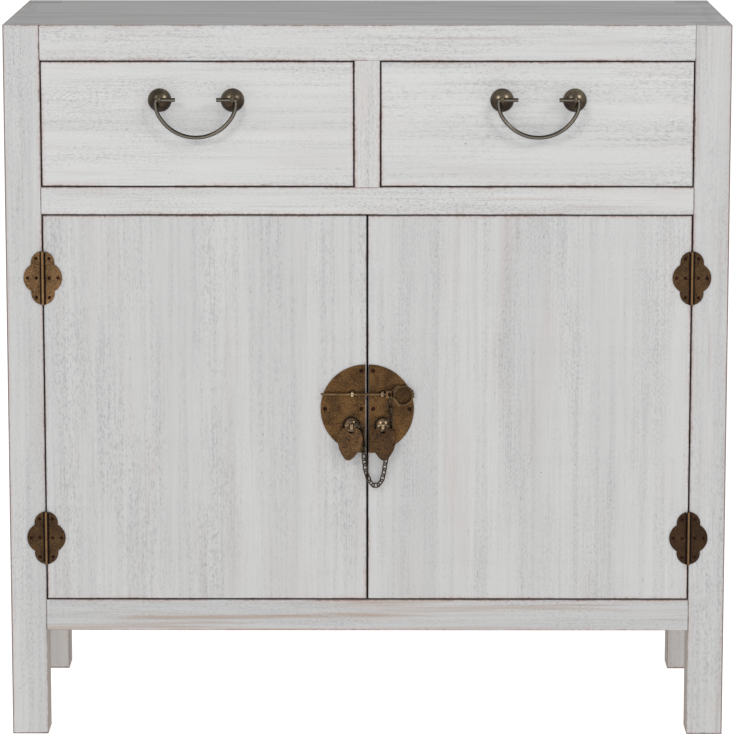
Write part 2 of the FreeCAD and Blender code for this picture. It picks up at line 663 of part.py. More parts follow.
def lock_pin():
    """The pin through both lock eyes, with its bow on the right."""
    ends = [V(x, PIN_Y, PIN_Z) for x in (-PIN_TIP, PIN_TIP_LENGTH - PIN_TIP, PIN_NECK_START)]
    bar = bent_wire(ends[::2], Y_AXIS, PIN_RADIUS, False)
    tip = bent_wire(ends[:2], Y_AXIS, PIN_TIP_RADIUS, False)
    half = PIN_NECK_HEIGHT / 2
    y0 = PIN_Y - PIN_PLATE / 2
    neck = box(PIN_NECK_START, PIN_NECK_END, y0, y0 + PIN_PLATE, PIN_Z - half, PIN_Z + half)
    hole = disc((PIN_NECK_START + PIN_NECK_END) / 2, PIN_Z, PIN_HOLE_RADIUS, HOLE_SIDES, y0, PIN_PLATE)
    bow_z = PIN_Z - BOW_DROP
    outside = disc(BOW_X, bow_z, BOW_OUTER, RING_SIDES, y0, PIN_PLATE)
    opening = disc(BOW_X, bow_z, BOW_INNER, RING_SIDES, y0, PIN_PLATE)
    # pointed shoulders run from the neck to the upper and lower left of the ring
    shoulders = []
    for way in (1, -1):
        outline = [at(PIN_NECK_END - BOW_SHOULDER, PIN_Z + way * half),
                   at(BOW_X - BOW_POINT_IN, bow_z + way * BOW_POINT_RISE),
                   at(BOW_X - BOW_INNER, bow_z + way * BOW_ROOT)]
        shoulders.append(flat(outline, y0, PIN_PLATE))
    teeth = []
    for step in (-1, 0, 1):
        angle = math.radians(BOW_TOOTH_TURN + step * BOW_TOOTH_STEP)
        x = BOW_X + BOW_OUTER * math.cos(angle)
        teeth.append(disc(x, bow_z + BOW_OUTER * math.sin(angle), BOW_TOOTH, HOLE_SIDES, y0, PIN_PLATE))
    bow = cut(fuse(outside, *shoulders, *teeth), opening)
    return cut(fuse(bar, tip, neck, bow), hole)


parts["lock_pin"] = lock_pin()

# Chain from the pin's neck to the left pull eye, in two runs that meet at the bottom of the loop


def link(centre, along, across):
    """One oval link: two straight sides joined by half rings."""
    straight = LINK_HALF_LENGTH - LINK_HALF_WIDTH
    points = []
    for way in (1, -1):
        for step in range(LINK_END_FACETS + 1):
            angle = math.pi * (step / LINK_END_FACETS - 0.5)
            points.append(centre + along * (way * (straight + LINK_HALF_WIDTH * math.cos(angle)))
                          + across * (way * LINK_HALF_WIDTH * math.sin(angle)))
    return bent_wire(points, along.cross(across).normalize(), LINK_WIRE, True)


def chain_links():
    """Links from the left pull eye to the pin's neck, each turned square to the one before."""
    reach = LINK_HALF_LENGTH - LINK_HALF_WIDTH * (1 - math.cos(math.pi / 2 / LINK_END_FACETS))
    hook = V(reach - BOSS_X - PULL_EYE_BREADTH - LINK_WIRE - LINK_PLAY, PLATE_FACE - PULL_EYE_OUT,
             LOCK_Z - BOSS_DROP + PULL_EYE_RADIUS - PULL_EYE_WIRE - LINK_WIRE - LINK_PLAY + LINK_HALF_WIDTH)
    hang = V((PIN_NECK_START + PIN_NECK_END) / 2, PIN_Y,
             PIN_Z - PIN_HOLE_RADIUS + LINK_WIRE + LINK_PLAY - reach)
    half = LINK_PITCH / 2
    curve = Part.BSplineCurve()
    route = [V(x, PLATE_FACE - out, LOCK_Z + z) for x, out, z in CHAIN_ROUTE]
    curve.interpolate([hook + X_AXIS * half, *route, hang - Z_AXIS * half])
    count = 2 * round(curve.length() / LINK_PITCH / 2)
    step = curve.length() / count
    joints = [curve.value(curve.parameterAtDistance(index * step, curve.FirstParameter))
              for index in range(count + 1)]
    joints = [hook - X_AXIS * half, *joints, hang + Z_AXIS * half]
    links = []
    for index in range(len(joints) - 1):
        along = (joints[index + 1] - joints[index]).normalize()
        square = Y_AXIS.cross(along).normalize()
        from_end = min(index, count + 1 - index)
        twist = LINK_TWIST * min(1.0, from_end / LINK_TWIST_OVER)
        turn = math.radians(twist + 90 * (index % 2))
        across = square * math.cos(turn) + along.cross(square) * math.sin(turn)
        links.append(link((joints[index] + joints[index + 1]) / 2, along, across))
    print(len(links), "chain links", round(step, 3), "mm apart, turning at", joints[1], "and", joints[-1])
    return links


links = chain_links()
parts["chain_end_link"] = links[0]
parts["chain_left"] = Part.makeCompound(links[1:CHAIN_LEFT_LINKS])
parts["chain_right"] = Part.makeCompound(links[CHAIN_LEFT_LINKS:])

# Handles: domed bosses, split-pin eyes and a bail that swings in them


def bail():
    """The bent wire of the left handle: ends through the eyes, round bow below."""
    half = HANDLE_SPAN / 2 + BAIL_ARM
    rise = BAIL_DROP - BAIL_CORNER
    side = BAIL_SIDE_RADIUS
    # three arcs: tight at both arms, flatter across the bottom, tangent where they meet
    crown = (rise ** 2 + (half - side) ** 2 - side ** 2) / (2 * (rise - side))
    turn = math.atan2(crown - rise, half - side)

    def swept(centre_x, centre_z, radius, start, end):
        steps = max(2, round(math.degrees(end - start) / BAIL_STEP))
        angles = [start + (end - start) * step / steps for step in range(steps + 1)]
        return [(centre_x - radius * math.cos(angle), centre_z - radius * math.sin(angle)) for angle in angles]

    corner = [(x, z) for x, z in swept(BAIL_CORNER - half, -BAIL_CORNER, BAIL_CORNER, -math.pi / 2, 0)]
    arm = swept(side - half, -BAIL_CORNER, side, 0, turn)
    bow = swept(0, crown - rise - BAIL_CORNER, crown, turn, math.pi / 2)
    left = [(BAIL_END - HANDLE_SPAN / 2, 0), *corner, *arm[1:], *bow[1:]]
    right = [(-x, z) for x, z in reversed(left[:-1])]
    points = [V(x - HANDLE_X, HANDLE_Y, z + HANDLE_Z) for x, z in left + right]
    return bent_wire(points, Y_AXIS, BAIL_RADIUS, False)


handle_eyes = []
handle_domes = []
for end in (-1, 1):
    x = -HANDLE_X + end * HANDLE_SPAN / 2
    eye = eye_with_shank(x, HANDLE_Y, HANDLE_Z, HANDLE_EYE_RADIUS, HANDLE_EYE_WIRE, HANDLE_EYE_BREADTH,
                         FRONT + DRAWER_FRONT)
    handle_eyes.append(eye)
    handle_domes.append(cut(dome(x, FRONT, HANDLE_Z - DOME_DROP, DOME_RADIUS, DOME_HEIGHT), eye))

# Drawers: front, two sides housed in it, back between the sides, bottom in grooves
front_left = -POST_IN + GAP
front_right = -DIVIDER / 2 - GAP
box_left = -POST_IN + DRAWER_PLAY
box_right = -DIVIDER / 2 - DRAWER_PLAY
side_front = FRONT + DRAWER_FRONT - DRAWER_HOUSING
box_back = FRONT + DRAWER_LENGTH
bottom_low = DRAWER_FLOOR + DRAWER_BOTTOM_UP
bottom_high = bottom_low + DRAWER_BOTTOM
side_high = DRAWER_FLOOR + DRAWER_SIDE_HEIGHT
drawer_front = box(front_left, front_right, FRONT, FRONT + DRAWER_FRONT,
                   DRAWER_FLOOR + GAP, DRAWER_CEILING - GAP)
drawer_front = drawer_front.makeFillet(EDGE_ROUND, [edge for edge in drawer_front.Edges if on_front(edge)])
drawer_sides = [box(x0, x0 + DRAWER_SIDE, side_front, box_back, DRAWER_FLOOR, side_high)
                for x0 in (box_left, box_right - DRAWER_SIDE)]
inner_left = box_left + DRAWER_SIDE
inner_right = box_right - DRAWER_SIDE
drawer_back = box(inner_left - DRAWER_GROOVE, inner_right + DRAWER_GROOVE,
                  box_back - 2 * DRAWER_SIDE, box_back - DRAWER_SIDE, bottom_high, side_high)
drawer_bottom = box(inner_left - DRAWER_GROOVE, inner_right + DRAWER_GROOVE,
                    FRONT + DRAWER_FRONT - DRAWER_GROOVE, box_back - DRAWER_SIDE, bottom_low, bottom_high)
drawer_parts = {
    "drawer_front": cut(drawer_front, *drawer_sides, drawer_bottom, *handle_eyes),
    "drawer_sides": Part.makeCompound([cut(side, drawer_back, drawer_bottom) for side in drawer_sides]),
    "drawer_back": drawer_back,
    "drawer_bottom": drawer_bottom,
    "handle_posts": Part.makeCompound(handle_domes + handle_eyes),
    "handle_bail": bail(),
}
for name, shape in drawer_parts.items():
    parts[f"{name}_left"] = shape
    parts[f"{name}_right"] = mirrored(shape)

os.makedirs("parts", exist_ok=True)
for name, shape in parts.items():
    shape.exportStep(f"parts/{name}.step")
    print(name, len(shape.Solids), shape.isValid(), round(shape.Volume))
print(len(parts), "nodes; front at y =", round(FRONT, 2))
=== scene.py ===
# %% [markdown]
# # A white-washed console cabinet
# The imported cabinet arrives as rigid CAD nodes, all in metres and all in place, so nothing here has to be
# fitted. This lesson gives the nodes their finish: a white wash rubbed through along the edges, and brass
# with a brown patina. The small metalwork, which the CAD keeps to few facets, is worked out again as smooth
# surfaces on the same sizes.

# %% Load the frame
import json
import math

import bmesh
import bpy
import numpy as np
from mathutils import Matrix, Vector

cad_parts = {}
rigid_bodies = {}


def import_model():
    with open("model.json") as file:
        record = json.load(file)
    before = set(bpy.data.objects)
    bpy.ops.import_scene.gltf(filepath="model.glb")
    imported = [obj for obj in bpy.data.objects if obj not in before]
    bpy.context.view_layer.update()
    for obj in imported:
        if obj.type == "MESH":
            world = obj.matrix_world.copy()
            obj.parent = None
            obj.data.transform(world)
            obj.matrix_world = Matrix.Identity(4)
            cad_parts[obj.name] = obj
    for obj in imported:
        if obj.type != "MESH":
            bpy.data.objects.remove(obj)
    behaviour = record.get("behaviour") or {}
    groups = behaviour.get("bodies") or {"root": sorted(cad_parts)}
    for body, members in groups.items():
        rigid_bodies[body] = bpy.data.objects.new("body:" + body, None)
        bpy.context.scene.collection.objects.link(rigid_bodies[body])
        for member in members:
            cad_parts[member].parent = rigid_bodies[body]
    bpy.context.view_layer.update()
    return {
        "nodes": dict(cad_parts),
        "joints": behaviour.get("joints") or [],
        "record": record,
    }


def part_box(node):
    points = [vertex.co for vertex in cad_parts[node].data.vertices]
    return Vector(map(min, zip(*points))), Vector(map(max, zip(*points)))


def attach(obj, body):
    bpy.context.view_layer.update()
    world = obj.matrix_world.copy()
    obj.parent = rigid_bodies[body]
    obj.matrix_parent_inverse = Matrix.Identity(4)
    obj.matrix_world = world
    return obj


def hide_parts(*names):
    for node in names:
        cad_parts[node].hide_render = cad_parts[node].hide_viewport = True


for leftover in list(bpy.data.objects):
    bpy.data.objects.remove(leftover)
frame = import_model()
joints = {joint["name"]: joint for joint in frame["joints"]}

# %% Sizes come from the frame, in millimetres
MM = 0.001
SIDES = {"left": -1, "right": 1}
LEVELS = ("upper", "lower")


def corners(node):
    """Lowest and highest corner of a CAD node at rest, in millimetres."""
    low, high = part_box(node)
    return np.array(low) / MM, np.array(high) / MM


def pivot(joint):
    """A point on a joint's axis, in millimetres."""
    return np.array(joints[joint]["pos_m"]) / MM


def hinge_z(level, name):
    """The height of a hinge's middle, in millimetres."""
    return float(np.mean(corners(f"hinge_leaf_frame_{level}_{name}"), 0)[2])


LEG_LOW, LEG_HIGH = corners("leg_front_left")
BACK_LOW, BACK_HIGH = corners("leg_back_right")
OUTER_LOW, OUTER_HIGH = LEG_LOW, BACK_HIGH
FRONT = float(LEG_LOW[1])
POST_IN = float(-LEG_HIGH[0])
POST_OUT = float(OUTER_HIGH[0])
TOP = float(LEG_HIGH[2])
TOP_RAIL_LOW = float(corners("top_rail_front")[0][2])
HINGE_X = abs(float(pivot("left_door_swing")[0]))
LOCK_Z = float(pivot("left_door_swing")[2])
PLATE_FACE = float(corners("lock_plate_left")[0][1])
print("front plane at y =", round(FRONT, 2), "mm; plates stand", round(FRONT - PLATE_FACE, 2), "mm proud")

# %% [markdown]
# ## Writing shaders as sums
# A finish is a sum of layers: streaks, specks, worn edges. Blender adds such layers with Math nodes, and a
# long chain of them is hard to read. One small class wraps a socket, so that `1 - mask * 0.5` adds the same
# nodes, and one method makes every other kind of node.

# %% A socket that can be calculated with


class Socket:
    """One output of a material's node tree. Arithmetic on it adds Math nodes to that tree."""

    def __init__(self, tree, output):
        self.tree = tree
        self.output = output

    def make(self, kind, settings, inputs, output=0):
        """Adds a node: its settings first, then the value or link of each named or numbered input."""
        node = self.tree.nodes.new(kind)
        for name, value in settings.items():
            setattr(node, name, value)
        for key, value in inputs.items():
            if isinstance(value, Socket):
                self.tree.links.new(value.output, node.inputs[key])
            else:
                node.inputs[key].default_value = value
        return Socket(self.tree, node.outputs[output])

    def math(self, operation, first, second):
        return self.make("ShaderNodeMath", {"operation": operation}, {0: first, 1: second})

    def __add__(self, other):
        return self.math("ADD", self, other)

    def __sub__(self, other):
        return self.math("SUBTRACT", self, other)

    def __rsub__(self, other):
        return self.math("SUBTRACT", other, self)

    def __mul__(self, other):
        return self.math("MULTIPLY", self, other)

    __radd__ = __add__
    __rmul__ = __mul__

    def least(self, other):
        return self.math("MINIMUM", self, other)

    def most(self, other):
        return self.math("MAXIMUM", self, other)

    def size(self):
        """The value without its sign."""
        return self.make("ShaderNodeMath", {"operation": "ABSOLUTE"}, {0: self})

    def rise(self, start, end):
        """0 before start and 1 after end, with a soft step between; it falls where start is above end."""
        return self.make("ShaderNodeMapRange", {"interpolation_type": "SMOOTHSTEP"},
                         {"Value": self, "From Min": start, "From Max": end})

    def near(self, middle, reach, soft):
        """1 within reach of a middle value and 0 beyond it, with a step that is soft to both sides."""
        return (self - middle).size().rise(reach + soft, reach - soft)

    def scaled(self, per_metre, shift=0.0):
        """Coordinates counted in steps per metre along X, Y and Z."""
        return self.make("ShaderNodeMapping", {},
                         {"Vector": self, "Location": (shift, shift, shift), "Scale": per_metre})

    def noise(self, per_metre, detail=2.0, shift=0.0):
        """Soft random values around 0.5 with so many spots per metre along X, Y and Z."""
        return self.make("ShaderNodeTexNoise", {},
                         {"Vector": self.scaled(per_metre, shift), "Scale": 1.0, "Detail": detail})

    def cells(self, per_metre, output):
        """Distance to the nearest of scattered points, or with output 1 a random colour for each point."""
        return self.make("ShaderNodeTexVoronoi", {},
                         {"Vector": self.scaled((per_metre,) * 3), "Scale": 1.0}, output)

    def part(self, axis):
        """One coordinate of a vector, or one channel of a colour."""
        return self.make("ShaderNodeSeparateXYZ", {}, {0: self}, "XYZ".index(axis))

    def millimetres(self, axis):
        """One coordinate of a place, counted in millimetres."""
        return self.part(axis) * (1 / MM)

    def distance(self, middle):
        """The distance between a place and a fixed point."""
        return self.make("ShaderNodeVectorMath", {"operation": "DISTANCE"}, {0: self, 1: middle}, "Value")

    def blend(self, under, over):
        """Two colours mixed, with this socket as the share of the second."""
        return self.make("ShaderNodeMix", {"data_type": "RGBA"}, {0: self, 6: under, 7: over}, 2)

    def bump(self, depth_mm, strength=1.0):
        """A normal that leans as if this socket were height, with a full step of so many millimetres."""
        return self.make("ShaderNodeBump", {},
                         {"Height": self, "Distance": depth_mm * MM, "Strength": strength})


# %% Colours and materials


def colour(red, green, blue):
    """A colour as read on a screen, 0 to 255, turned into the linear light that shaders use."""
    channels = np.array([red, green, blue]) / 255
    linear = np.where(channels <= 0.04045, channels / 12.92, ((channels + 0.055) / 1.055) ** 2.4)
    return (*linear.tolist(), 1.0)


def layered(tone, layers):
    """Colours laid over a tone one after another. Each layer is a socket, its share, and a colour."""
    for share, over in layers:
        tone = share.blend(tone, over)
    return tone


def start_material(name):
    """A new material, its shader node, and the object coordinates that its patterns read."""
    material = bpy.data.materials.new(name)
    material.use_nodes = True
    tree = material.node_tree
    shader = tree.nodes["Principled BSDF"]
    place = Socket(tree, tree.nodes.new("ShaderNodeTexCoord").outputs["Object"])
    return material, shader, place


def finish_material(shader, **sockets):
    """Links sockets to the shader's inputs and sets plain numbers on them."""
    for name, value in sockets.items():
        target = shader.inputs[name.replace("_", " ").title()]
        if isinstance(value, Socket):
            value.tree.links.new(value.output, target)
        else:
            target.default_value = value


print("a grey of 128 on the screen is", round(colour(128, 128, 128)[0], 3), "of full light")

# %% [markdown]
# ## The white wash
# The boards were brushed with thin white and rubbed back. The wash is uneven along the grain, grey fibres and
# dark pores show through in patches, and on the edges the rubbing has reached reddish wood. All patterns are
# noise stretched along the board. The distance to a board's edges needs no baking: each board is a box, so
# the middle one of its three distances to the box faces is the distance to the nearest edge.
#
# Some layers are painted shade: the posts are dark on the faces that look into an opening, doors and drawer
# fronts are dark on the edges that they hide, and the wood is dark behind the hinge barrels and beside the
# lock. The joints of the rails are open to a different degree on each rail, and one, at the upper right, is
# filled by the wash. Each of these is a distance too, so each is one more layer on the sum.

# %% How the grain runs and how far apart its marks are
ALONG = {"X": (1, 0, 0), "Y": (0, 1, 0), "Z": (0, 0, 1)}


def marks(grain, along_mm, across_mm):
    """Marks per metre on X, Y and Z for marks of a given length along the grain and width across it."""
    return tuple(1000 / along_mm if way else 1000 / across_mm for way in ALONG[grain])


def edge_distance(place, low, high):
    """Millimetres from a point of a box's surface to the nearest edge: of the distances to the three pairs
    of faces, the smallest is 0 on the surface, and the middle one is what is left when the largest and the
    smallest are taken from the sum."""
    gaps = []
    for axis, start, end in zip("XYZ", low.tolist(), high.tolist()):
        from_middle = (place.millimetres(axis) - (start + end) / 2).size()
        gaps.append((end - start) / 2 - from_middle)
    x, y, z = gaps
    return x + y + z - x.most(y).most(z) - x.least(y).least(z), gaps


print("fibres 70 mm long and 1.3 mm wide, upright: marks per metre", np.round(marks("Z", 70, 1.3)).tolist())

# %% What the finish knows of one board
TOP_SKIN, TOP_SOFT = 0.4, 0.2
FILLED_REACH, FILLED_SOFT = 10, 2
FILLED_UP = (1, 5)
FILLED_SHARE = 0.8
FILLED_AWAY = 20
ARRIS_WIDTH = (2.3, 1.1)
MARKS = {
    "bands": (800, 34, 3, 0, 0.30, 0.70),
    "patches": (220, 34, 3, 3, 0.38, 0.72),
    "rows": (420, 6, 3, 7, 0.44, 0.66),
    "fibres": (70, 1.3, 3, 0, 0.44, 0.72),
    "grit": (3.6, 1.3, 3, 9, 0.46, 0.70),
    "pores": (5, 1.2, 2, 0, 0.64, 0.74),
    "blushes": (190, 30, 2, 17, 0.52, 0.80),
}


class Board:
    """The distances and marks of one board, as sockets. MARKS gives each kind of mark its length and width in
    millimetres, the detail and shift of its noise, and the two values between which the noise rises."""

    def __init__(self, place, low, high, grain, rubbed, seams, shift):
        self.place, self.grain, self.shift = place, grain, shift
        self.x = place.millimetres("X")
        self.z = place.millimetres("Z")
        self.across = self.x.size()
        self.behind = place.millimetres("Y") - FRONT
        self.on_top = self.z.near(TOP, TOP_SKIN, TOP_SOFT)
        self.filled = self.filled_joint()
        self.edge, self.gaps = self.open_edge(low, high, seams)
        for name, (along, across, detail, offset, start, end) in MARKS.items():
            setattr(self, name, self.noise(along, across, detail, offset).rise(start, end))
        self.worn = self.noise(220, 6, 3, 11).rise(0.66 - 0.12 * rubbed, 0.84 - 0.10 * rubbed)
        self.handled = self.noise(70, 70, 2, 5)
        self.jitter = place.noise((260, 260, 260), 4)
        self.arris = (self.edge + self.jitter * 2.2).rise(*ARRIS_WIDTH)

    def noise(self, along, across, detail, offset):
        """Noise stretched along the grain, shifted so that no two boards are alike."""
        return self.place.noise(marks(self.grain, along, across), detail, self.shift + offset)

    def filled_joint(self):
        """Near the right post's inner edge, from the top rail's lower edge upwards, but not on the top."""
        low, high = FILLED_UP
        beside = self.x.near(POST_IN, FILLED_REACH, FILLED_SOFT) * (1 - self.on_top)
        return beside * self.z.rise(TOP_RAIL_LOW + low, TOP_RAIL_LOW + high) * FILLED_SHARE

    def open_edge(self, low, high, seams):
        """Distance to the nearest edge that hands can reach: not to a butted end, on the top only to the
        outside of the cabinet, and further away where a joint is filled."""
        edge, gaps = edge_distance(self.place, low, high)
        if seams:
            first, second = (gap for axis, gap in zip("XYZ", gaps) if axis != seams)
            edge = first.most(second)
        outside, _ = edge_distance(self.place, OUTER_LOW, OUTER_HIGH)
        edge = edge * (1 - self.on_top) + outside * self.on_top
        return edge + self.filled * FILLED_AWAY, gaps


# %% The wash as it was brushed on, and the wear
WASH_LIGHT = colour(205, 205, 204)
FIBRE = colour(146, 145, 147)
PORE = colour(96, 88, 86)
BLUSH = colour(182, 152, 142)
RUBBED = colour(164, 145, 131)
ARRIS = colour(100, 74, 66)
SPECKS_PER_METRE = 46
BLUSH_WIDTH = (8.5, 2.5)
TEETH_WIDTH = (6.6, 5.2)


def brushed(board, dull_and_shade):
    """Layers over the white: grey in bands and rows, blushes, the streaks of the top, grey fibres, grit,
    pores and scattered specks of a few sizes."""
    streaks = board.place.noise(marks("X", 240, 9), 4, 13).rise(0.42, 0.68)
    speck_size = board.place.cells(SPECKS_PER_METRE, 1).part("X").rise(0.74, 1.0)
    specks = (board.place.cells(SPECKS_PER_METRE, 0) - speck_size * 0.034).rise(0.008, 0.0)
    # An even grey over the whole board: dull wash, and on some boards painted shade.
    return [(board.bands * 0.13 + board.rows * 0.08 + dull_and_shade, FIBRE),
            (board.blushes * 0.14, BLUSH),
            (streaks * (board.on_top * 0.55 + 0.03), FIBRE),
            (board.fibres * (board.patches * 0.20 + 0.11), FIBRE),
            (board.grit * (board.rows * 0.24 + board.patches * 0.44 + 0.07), FIBRE),
            (board.pores * board.rows * 0.42, PORE),
            (specks * 0.7, PORE)]


def rubbed_back(board, rubbed):
    """Rows rubbed through to warm wood, a blush that widens where hands go, and bare wood on the arris, with
    teeth along the grain where the wash has chipped."""
    through = board.worn * (board.rows * 0.5 + 0.5) * min(1.0, 0.2 + 0.5 * rubbed)
    blush = (board.edge + board.jitter * 7).rise(*BLUSH_WIDTH) * board.handled.rise(0.35, 0.7)
    teeth = (board.edge + board.noise(12, 2.4, 3, 19) * 14).rise(*TEETH_WIDTH)
    return [(through, RUBBED),
            (blush * 0.55, BLUSH),
            (board.arris * (board.handled.rise(0.30, 0.62) * 0.6 + 0.25), ARRIS),
            (teeth * (board.handled.rise(0.40, 0.60) * 0.5 + 0.1), ARRIS)]


# %% Painted shade in openings and recesses, bare arrises and feet, and joints
# The dark of open joints, also used as painted shade in recesses.
SEAM_AND_SHADE = colour(52, 42, 38)
SHADED = colour(112, 101, 92)
HINGE_SHADE = (3.3, 28.0)
LOCK_SHADE = (2.8, 49.0)
FOOT_WEAR = (3.0, 1.8)
HIDDEN_EDGE = (0.7, 0.3)
JOINT_WIDTH = (1.35, 0.75)
POST_FACE, POST_FACE_SOFT = 0.45, 0.15
HINGE_LEVELS = [hinge_z(level, "left") for level in LEVELS]


def shade_and_bare_wood(board):
    """Painted shade on the faces of the posts that look into an opening, and bare wood on the outer arrises
    and round the feet."""
    # Painted shade on the faces of the posts that look into an opening.
    facing = board.across.near(POST_IN, POST_FACE, POST_FACE_SOFT)
    inner = facing * board.behind.rise(0.5, 1.2) * (1 - board.on_top)
    outer = (board.across + board.jitter).rise(POST_OUT - 1.2, POST_OUT - 0.4) * board.behind.rise(1.8, 1.0)
    standing = (board.z + board.jitter * 2).rise(*FOOT_WEAR)
    return [(inner * 0.9, SHADED), (outer.most(standing) * 0.85, ARRIS)]


def shaded_recesses(board, hung):
    """Painted shade: dark wood behind the hinge barrels and to the right of the seam between the lock's
    halves.
    Each shaded patch has a half width and a half height. Boards that hang in an opening get painted shade on
    their hidden edges."""
    wide, tall = HINGE_SHADE
    # Painted shade in the slit behind each hinge barrel.
    barrel = board.across.near(HINGE_X, wide, 0.3) * board.behind.rise(3.0, 1.5)
    layers = [(barrel * board.z.near(level, tall, 0.5), SEAM_AND_SHADE) for level in HINGE_LEVELS]
    if hung:
        # Painted shade on the edges that lie inside the gap round a hung board.
        hidden = board.gaps[0].least(board.gaps[2]).rise(*HIDDEN_EDGE) * board.behind.rise(0.8, 1.8)
        layers.append((hidden * 0.85, SEAM_AND_SHADE))
    wide, tall = LOCK_SHADE
    # Painted shade on the right door's strip beside the seam, between the lock's halves.
    beside = board.x.near(0.0, wide, 0.4) * board.x.rise(0.1, 0.5) * board.behind.rise(2.0, 1.0)
    layers.append((beside * board.z.near(LOCK_Z, tall, 0.5) * 0.85, SEAM_AND_SHADE))
    return layers


def jointed(board, seams, open_joint):
    """A dark line where a board butts against its neighbours, as far as its joints are open."""
    gap = board.gaps["XYZ".index(seams)]
    joint = (gap + board.jitter * 1.2).rise(*JOINT_WIDTH) * (1 - board.on_top) * (1 - board.filled)
    return [(joint * (board.handled.rise(0.35, 0.60) * 0.5 + 0.5) * open_joint, SEAM_AND_SHADE)]


print("hinges stand at", [round(level, 1) for level in HINGE_LEVELS], "mm above the floor")

# %% The washed finish of one board


def washed_wood(name, low, high, grain, rubbed, dull_and_shade, hung, seams, open_joint, shift):
    """White wash on one board, given its visible box, its grain, how much is rubbed through, how far it is
    dulled and darkened as painted shade, whether it hangs in an opening, so that its hidden edges get painted
    shade, the axis along which it butts against its neighbours, and how far those joints are open. On the top
    the wash runs over them."""
    material, shader, place = start_material(name)
    board = Board(place, low, high, grain, rubbed, seams, shift)
    layers = brushed(board, dull_and_shade) + rubbed_back(board, rubbed) + shade_and_bare_wood(board) + shaded_recesses(board, hung)
    if seams:
        layers += jointed(board, seams, open_joint)
    relief = board.fibres * board.patches * -0.35 + board.pores * -0.5
    relief = relief + board.arris * -0.8 + board.jitter * 0.15
    finish_material(shader, base_color=layered(WASH_LIGHT, layers), normal=relief.bump(0.25, 0.6),
                    roughness=board.worn * 0.12 + board.fibres * 0.08 + 0.52)
    return material


# %% The visible box of each washed board
SIDE_RAILS = ("top_rail_left", "top_rail_right", "bottom_rail_left", "bottom_rail_right")
HUNG = ("door_left", "door_right", "drawer_front_left", "drawer_front_right")


def shown(node):
    """A board's box without the tenons that are hidden in the legs."""
    low, high = corners(node)
    if node in SIDE_RAILS:
        low[1], high[1] = LEG_HIGH[1], BACK_LOW[1]
    elif "rail" in node:
        low[0], high[0] = -POST_IN, POST_IN
    elif node == "drawer_divider":
        low[2], high[2] = corners("middle_rail_front")[1][2], TOP_RAIL_LOW
    return low, high


def choice(table, node, otherwise):
    """The entry of a table whose name begins the node's name."""
    return next((value for start, value in table.items() if node.startswith(start)), otherwise)


def dress(node, material):
    """Gives a CAD node its finish and leaves its mesh as it is."""
    frame["nodes"][node].material_slots[0].material = material


# %% Wash every board that shows
GRAIN = {"leg": "Z", "door": "Z", "drawer_divider": "Z", "side_panel": "Z", "drawer_front": "X",
         "top_panel": "X"}
RUBBED_THROUGH = {"leg_front_right": 1.0, "leg_front": 0.6, "bottom_rail": 1.5, "middle_rail": 0.6,
                  "top_rail": 0.5}
# Greyer wash on some boards: partly dull wash, partly painted shade, strongest on the back legs.
DULL_AND_SHADE = {"drawer": 0.0, "middle": 0.0, "door": 0.14, "leg_back": 0.42, "leg_front_right": 0.20, "leg": 0.14,
          "bottom_rail": 0.20, "top_rail": 0.06}
OPEN_JOINT = {"drawer_divider": 0.22, "middle_rail": 0.45}
NEXT_BOARD = 1.7
slots = {part["node"]: part["material_slot"] for part in frame["record"]["subparts"]}
washed = [node for node, slot in slots.items() if slot == "washed_wood"]
for number, node in enumerate(washed):
    runs = "Y" if node in SIDE_RAILS else "X"
    butts = runs if "rail" in node else "Z" if node == "drawer_divider" else None
    dress(node, washed_wood(f"wash_{node}", *shown(node), choice(GRAIN, node, runs),
                            choice(RUBBED_THROUGH, node, 0.12), choice(DULL_AND_SHADE, node, 0.02), node in HUNG,
                            butts, choice(OPEN_JOINT, node, 0.85), NEXT_BOARD * number))
print("washed", len(washed), "boards")

# %% [markdown]
# ## Bare wood inside
# The parts that nobody sees from the front are left as sawn: warm pale timber with growth rings. A saw cuts
# the rings as a map cuts hills, so they are drawn as the contour lines of a smooth field of noise. One
# finish does for every board, turned to its grain.

# %% Bare timber
TIMBER_LIGHT = colour(203, 172, 132)
TIMBER_DARK = colour(160, 122, 84)
CONTOURS = 120


def bare_wood(name, grain):
    """Sawn timber with short dark pores. Its growth rings are the sine of many times a field of noise that is
    long along the grain, so that each ring follows one height of the field."""
    material, shader, place = start_material(name)
    heart = place.noise(marks(grain, 1100, 130), 1.5) * CONTOURS
    rings = heart.math("SINE", heart, 0.0) * 0.5 + 0.5
    pores = place.noise(marks(grain, 12, 1.0), 2).rise(0.58, 0.70)
    clouds = place.noise(marks(grain, 200, 50), 2)
    tone = (rings * 0.34 + clouds * 0.45).blend(TIMBER_LIGHT, TIMBER_DARK)
    finish_material(shader, base_color=(pores * 0.4).blend(tone, PORE), roughness=clouds * 0.15 + 0.55,
                    normal=(rings * 0.15 + pores * -0.7).bump(0.2, 0.5))
    return material


BARE_GRAIN = {"drawer_runners": "Y", "drawer_sides": "Y", "back_panel": "Z"}
timber = {grain: bare_wood(f"bare_timber_{grain.lower()}", grain) for grain in ALONG}
bare = [node for node, slot in slots.items() if slot == "bare_wood"]
for node in bare:
    dress(node, timber[choice(BARE_GRAIN, node, "X")])
print("left", len(bare), "boards bare")

# %% [markdown]
# ## Brass with age on it
# The hinges, lock plates and pulls are sheet brass, dipped brown and rubbed: a speckled grain of light metal
# and dark patina. A picture of brass would do, but noise with a spot every 0.8 mm stays sharp from near by.
# Each hinge and each pull has darkened to its own degree, so each has tones of its own; the left pull is the
# lighter partly as painted sheen. Over some metal lies painted light: a painted highlight along each hinge
# barrel with painted shade to each side, painted shade below the handles' axis, a painted highlight along
# the front of the bails, and black grime with painted contact shade round whatever stands on the lock.

